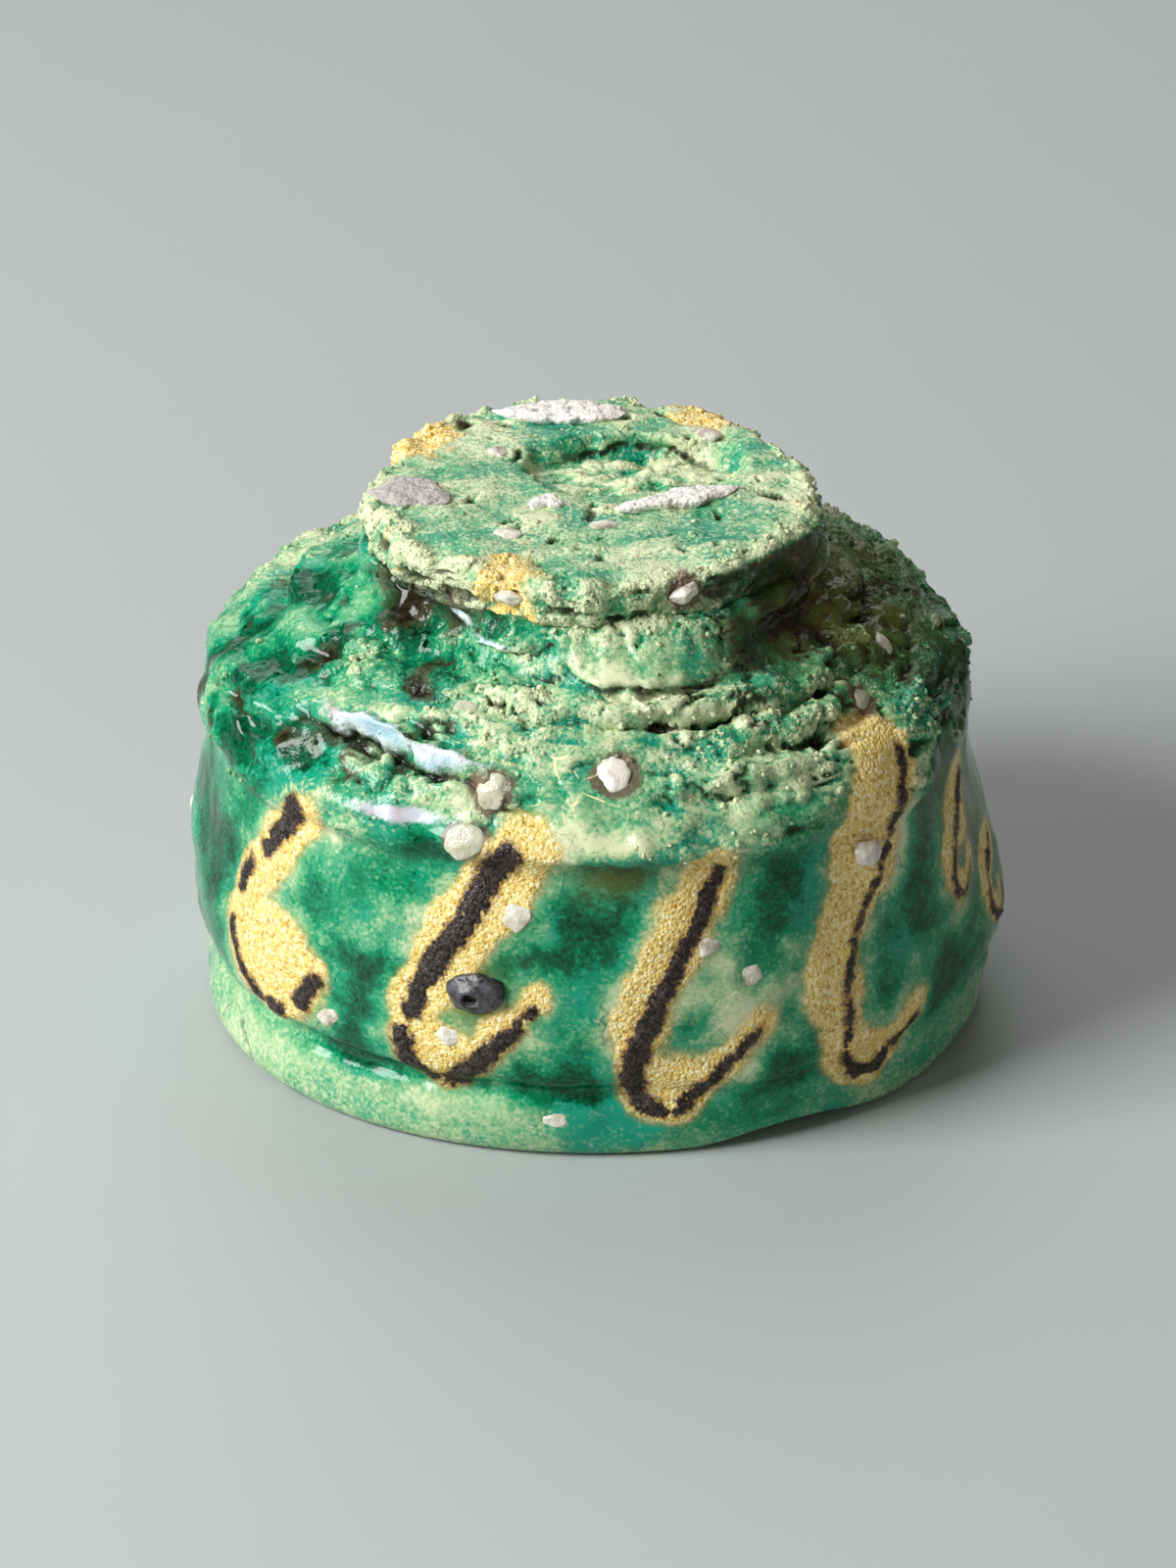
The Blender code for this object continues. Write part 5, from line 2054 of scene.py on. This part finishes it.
@dataclass(frozen=True)
class GlazeFinish:
    """Copper green glaze over stoneware, with yellow grounds and iron brush lines."""

    abyss: Colour = (0.0005, 0.030, 0.012)
    emerald: Colour = (0.0005, 0.110, 0.050)
    green: Colour = (0.002, 0.255, 0.110)
    celadon: Colour = (0.110, 0.385, 0.185)
    pale: Colour = (0.36, 0.54, 0.29)
    cream: Colour = (0.66, 0.71, 0.45)
    teal: Colour = (0.004, 0.290, 0.180)
    olive_and_shade: Colour = (0.130, 0.135, 0.016)
    soot_and_shade_brown: Colour = (0.062, 0.036, 0.012)
    moss: Colour = (0.022, 0.036, 0.010)
    crevice: Colour = (0.010, 0.007, 0.003)
    stain: Colour = (0.150, 0.068, 0.056)
    milk_and_highlight: Colour = (0.72, 0.78, 0.79)
    lilac: Colour = (0.56, 0.58, 0.68)
    azure: Colour = (0.42, 0.62, 0.72)
    blush: Colour = (0.52, 0.40, 0.38)
    umber: Colour = (0.14, 0.050, 0.008)
    ochre: Colour = (0.44, 0.235, 0.022)
    gold: Colour = (0.86, 0.64, 0.20)
    straw: Colour = (0.97, 0.87, 0.50)
    iron_low: Colour = (0.012, 0.008, 0.006)
    iron_high: Colour = (0.080, 0.060, 0.055)

    def build(self, grain: Tree) -> Material:
        """The material, which reads the attributes of the wall and of the foot.

        Args:
            grain: The shared grain.

        Returns:
            The material.
        """
        made, bench, shader = new_material("copper_green_glaze")
        place = bench.places()
        clay = bench.grained(grain, 2.4 * MM, 0.42 * MM, 0.28 * MM)
        cloud, fine, speck, crystal, swell = clay.values()
        gloss = bench.attribute("gloss")
        dull = 1.0 - gloss

        thin = bench.attribute("thin", (cloud, 0.42), (fine, 0.42))
        thin = thin + (crystal - 0.5) * (dull * 0.16 + 0.12)
        stops = (self.abyss, self.emerald, self.green, self.celadon, self.pale, self.cream)
        colour = bench.ramp(thin, *zip((0.0, 0.18, 0.38, 0.56, 0.74, 0.92), stops))
        broad = bench.noise(place, 9 * MM, 2).fade(0.42, 0.68)
        middling = 1.0 - bench.math("ABSOLUTE", thin - 0.45).fade(0.05, 0.3)
        colour = bench.mix(broad * middling, colour, self.teal)
        # Olive where the glaze turned olive, and painted olive shade on the side away from the light.
        colour = bench.mix(bench.attribute("olive_and_shade") * 0.85, colour, self.olive_and_shade)
        flecks = speck.fade(0.60, 0.72).larger(crystal.fade(0.84, 0.90)) * thin.fade(0.25, 0.55)
        colour = bench.mix(flecks * (dull * 0.6 + 0.14), colour, self.cream)
        pores = 1.0 - fine.fade(0.33, 0.41)
        colour = bench.mix(pores * (dull * 0.8), colour, self.crevice)
        # Soot and painted shade from the dark attribute turn the glaze brown, moss and near black.
        dark = bench.attribute("dark", (fine, 0.9), (cloud, 0.4))
        soot_and_shade = bench.mix(cloud.fade(0.42, 0.58), self.moss, self.soot_and_shade_brown)
        colour = bench.mix(dark.fade(0.25, 0.65) * 0.8, colour, soot_and_shade)
        colour = bench.mix(dark.fade(0.60, 1.10), colour, self.crevice)
        ring = 1.0 - bench.attribute("stain", (cloud, 3.4), (fine, 0.7)).fade(0.20, 0.90)
        colour = bench.mix(ring * 0.8, colour, self.stain)
        colour = bench.mix(self.crackle(bench, place, gloss), colour, self.abyss)
        # Milky glaze on the pale ridge and the stripes, with a painted highlight and painted reflection
        # tints of white, lilac, blue and pink.
        milk_and_highlight = bench.attribute("milk_and_highlight", (fine, 0.6), (cloud, 0.8)).fade(0.25, 0.75)
        opal_and_reflection_tints = ((0.28, self.blush), (0.40, self.lilac), (0.50, self.milk_and_highlight), (0.66, self.azure))
        colour = bench.mix(milk_and_highlight, colour, bench.ramp(bench.noise(place, 3.4 * MM, 2), *opal_and_reflection_tints))
        colour = bench.mix(self.veins(bench, place), colour, self.straw)

        yellow = bench.attribute("yellow", (cloud, 1.4), (fine, 0.5))
        colour = bench.mix(yellow.fade(-0.8, 0.0) * 0.35, colour, self.ochre)
        ground = yellow.fade(-0.45, 0.45)
        golds = ((0.26, self.ochre), (0.52, self.gold), (0.64, self.gold), (0.80, self.straw))
        colour = bench.mix(ground, colour, bench.ramp(crystal * 0.45 + fine * 0.75, *golds))
        iron = bench.attribute("iron", (fine, 1.2), (cloud, 0.5))
        colour = bench.mix(iron.fade(-0.55, 0.0) * 0.75, colour, self.umber)
        line = iron.fade(-0.10, 0.12)
        metals = ((0.08, self.iron_low), (0.60, self.iron_high))
        colour = bench.mix(line, colour, bench.ramp(fine * crystal, *metals))

        rough = (dull * 0.34).larger((line * 0.24).larger(ground * 0.08)) + 0.10
        sandy = dull.larger(line.larger(ground) * 1.1).larger(0.05)
        height = (fine * 0.6 + swell * 0.55) * sandy
        inputs = {
            "Base Color": colour,
            "Roughness": rough.swayed((fine, 0.10)),
            "Normal": bench.bumped(height, 0.8, 0.22 * MM),
            "Specular IOR Level": 0.28,
        }
        bench.join(shader, inputs)
        return made

    @staticmethod
    def crackle(bench: NodeBench, place: Value, gloss: Value) -> Value:
        """Fine cracks in the glassy glaze, here and there.

        Args:
            bench: Where the nodes go.
            place: Places on the piece.
            gloss: How glassy the glaze is.

        Returns:
            How much of a crack is at each place.
        """
        inputs = {"Vector": place, "Scale": 1 / (2.5 * MM), "Detail": 2.0}
        warp = bench.value("ShaderNodeTexNoise", inputs, "Color")
        shift = bench.value("ShaderNodeVectorMath", {0: warp, "Scale": 1.6 * MM}, operation="SCALE")
        bent = bench.value("ShaderNodeVectorMath", {0: place, 1: shift})
        lines = 1.0 - bench.edges(bent, 6 * MM).fade(0.002, 0.014)
        return lines * bench.noise(place, 7 * MM, 2).fade(0.46, 0.60) * (gloss * 0.5)

    @staticmethod
    def veins(bench: NodeBench, place: Value) -> Value:
        """Branching threads of gold where the attribute asks for them.

        Args:
            bench: Where the nodes go.
            place: Places on the piece.

        Returns:
            How much of a thread is at each place.
        """
        lines = 1.0 - bench.edges(place, 3.6 * MM).fade(0.006, 0.030)
        lines = lines * bench.attribute("vein").fade(0.25, 0.6)
        return lines * bench.noise(place, 1.6 * MM, 2).fade(0.40, 0.56)


@dataclass(frozen=True)
class StoneFinish:
    """White feldspar with a pinkish stain and a thin skin of glaze."""

    white: Colour = (0.84, 0.80, 0.71)
    grey: Colour = (0.62, 0.56, 0.48)
    stain: Colour = (0.34, 0.23, 0.18)
    glazed: Colour = (0.40, 0.43, 0.27)

    def build(self, grain: Tree) -> Material:
        """The material, which reads how bright a stone is.

        Args:
            grain: The shared grain.

        Returns:
            The material.
        """
        made, bench, shader = new_material("bedded_feldspar")
        clay = bench.grained(grain, 1.6 * MM, 0.3 * MM, 0.5 * MM)
        cloud, fine = clay["Cloud"], clay["Grain"]
        tone = cloud.swayed((fine, 0.15))
        colour = bench.ramp(tone, (0.30, self.stain), (0.42, self.grey), (0.55, self.white))
        colour = bench.mix(bench.attribute("bright"), self.glazed, colour)
        rough = (cloud * 0.4).swayed((fine, 0.3))
        normal = bench.bumped(fine, 0.5, 0.15 * MM)
        bench.join(shader, {"Base Color": colour, "Roughness": rough, "Normal": normal})
        return made


@dataclass(frozen=True)
class WadFinish:
    """Dry grey-white wad clay with sandy grains and a pink blush."""

    white: Colour = (0.86, 0.82, 0.77)
    ash: Colour = (0.46, 0.44, 0.42)
    grey: Colour = (0.32, 0.30, 0.285)
    blush: Colour = (0.62, 0.47, 0.42)

    def build(self, grain: Tree) -> Material:
        """The material, which reads the flake's crust.

        Args:
            grain: The shared grain.

        Returns:
            The material.
        """
        made, bench, shader = new_material("wad_clay")
        clay = bench.grained(grain, 3.0 * MM, 0.5 * MM, 0.35 * MM)
        fine = clay["Grain"]
        tone = (bench.attribute("crust") * 0.5).swayed((fine, 1.3), (clay["Speck"], 0.5))
        clean = bench.mix(bench.attribute("pale"), self.ash, self.white)
        colour = bench.mix(tone.fade(-0.55, -0.05), self.grey, clean)
        colour = bench.mix(clay["Cloud"].fade(0.52, 0.72), colour, self.blush)
        normal = bench.bumped(fine + clay["Swell"] * 0.6, 0.8, 0.18 * MM)
        bench.join(shader, {"Base Color": colour, "Roughness": 0.85, "Normal": normal})
        return made


@dataclass(frozen=True)
class IronFinish:
    """Blue-black iron that melted to a crust."""

    black: Colour = (0.010, 0.010, 0.012)
    slate: Colour = (0.105, 0.108, 0.120)

    def build(self, grain: Tree) -> Material:
        """The material of the bead.

        Args:
            grain: The shared grain.

        Returns:
            The material.
        """
        made, bench, shader = new_material("iron_crust")
        clay = bench.grained(grain, 0.9 * MM, 0.3 * MM, 0.4 * MM)
        fine = clay["Grain"]
        tone = clay["Cloud"].swayed((fine, 0.4))
        colour = bench.ramp(tone, (0.36, self.black), (0.66, self.slate))
        normal = bench.bumped(tone, 0.6, 0.15 * MM)
        bench.join(shader, {"Base Color": colour, "Roughness": fine * 0.4 + 0.15, "Normal": normal})
        return made


@dataclass
class Studio:
    """A pale floor that sweeps up behind, soft light and the camera.

    Attributes:
        elevation: How far above the table the camera looks from, in degrees.
        distance: From the camera to the point that it looks at.
        scale: Picture points to a metre at that distance, on the 1600 point side.
        aim: The point at the middle of the picture.
        lamps: Name, place, size and power of each.
    """

    elevation: float = 28.0
    distance: float = 560 * MM
    scale: float = 12.2 / MM
    aim: Triple = (-0.57 * MM, -7.96 * MM, 22.9 * MM)
    long_side: float = 1600
    sensor: float = 36.0
    floor_colour: Colour = (0.43, 0.46, 0.462)
    floor_half: float = 3.0
    sweep_start: float = 1.4
    sweep_radius: float = 0.7
    sweep_top: float = 3.0
    sky: Colour = (1.0, 0.93, 0.79)
    sky_strength: float = 0.155
    lamps: tuple[tuple[str, Triple, float, float], ...] = (
        ("key", (-0.57, -0.27, 0.46), 0.40, 8.8),
        ("fill", (0.35, -0.7, 0.35), 0.6, 0.4),
        ("back", (-0.1, 0.6, 0.6), 0.7, 2.5),
    )

    def build(self) -> None:
        """Makes the floor, the lights and the camera."""
        self.make_floor()
        for lamp in self.lamps:
            self.make_light(*lamp)
        world = bpy.data.worlds.new("studio")
        world.use_nodes = True
        sky = world.node_tree.nodes["Background"].inputs
        sky["Color"].default_value = (*self.sky, 1)
        sky["Strength"].default_value = self.sky_strength
        bpy.context.scene.world = world
        bpy.context.scene.view_settings.view_transform = "Standard"
        self.make_camera()

    def make_floor(self) -> None:
        """The floor and backdrop in one sweep."""
        half, start, lift = self.floor_half, self.sweep_start, self.sweep_radius
        turns = np.linspace(0.1, 0.5 * math.pi, 16)
        curve = [(start + lift * math.sin(turn), lift * (1 - math.cos(turn))) for turn in turns]
        outline = [(-half, 0.0), (start, 0.0), *curve, (start + lift, self.sweep_top)]
        count = len(outline)
        places = [(side, *spot) for side in (-half, half) for spot in outline]
        faces = [(i, count + i, count + i + 1, i + 1) for i in range(count - 1)]
        mesh = bpy.data.meshes.new("studio_sweep")
        mesh.from_pydata(places, [], faces)
        mesh.shade_smooth()
        material, bench, shader = new_material("sweep")
        tone = bench.noise(bench.places(), 0.05, 3)
        low = tuple(0.985 * part for part in self.floor_colour)
        colour = bench.ramp(tone, (0.3, low), (0.7, self.floor_colour))
        bench.join(shader, {"Base Color": colour, "Roughness": 0.55})
        mesh.materials.append(material)
        placed("studio_sweep", mesh)

    def make_light(self, name: str, place: Triple, size: float, power: float) -> None:
        """A square soft light that faces the cup.

        Args:
            name: Its name.
            place: Where it hangs.
            size: Its side.
            power: Its watts.
        """
        lamp = bpy.data.lights.new(name, "AREA")
        lamp.size = size
        lamp.energy = power
        light = placed(name, lamp)
        light.location = place
        light.rotation_euler = (Vector(self.aim) - Vector(place)).to_track_quat("-Z", "Y").to_euler()

    def make_camera(self) -> None:
        """The camera at the photograph's angle."""
        lens = bpy.data.cameras.new("camera")
        lens.sensor_width = self.sensor
        lens.lens = self.sensor * self.scale * self.distance / self.long_side
        camera = placed("camera", lens)
        tilt = math.radians(self.elevation)
        back = Vector((0, -math.cos(tilt), math.sin(tilt)))
        camera.location = Vector(self.aim) + self.distance * back
        camera.rotation_euler = (math.radians(90 - self.elevation), 0, 0)
        bpy.context.scene.camera = camera


def main() -> None:
    """Dresses the cup and sets it in the studio."""
    logging.basicConfig(level=logging.INFO, format="%(message)s")
    Studio().build()
    grain = grain_group()
    glaze = GlazeFinish().build(grain)
    form = CupForm()
    wall = CupWall(form).build(glaze)
    foot = CupFoot(form).build(glaze)
    scatter = ClayCrumbs.tree()
    ClayCrumbs().build("wall_crumbs", wall, scatter)
    ClayCrumbs(seed=11).build("foot_crumbs", foot, scatter)
    BeddedStones().build(StoneFinish().build(grain))
    KilnWads().build(WadFinish().build(grain))
    IronBead().build(IronFinish().build(grain))


if __name__ == "__main__":
    main()
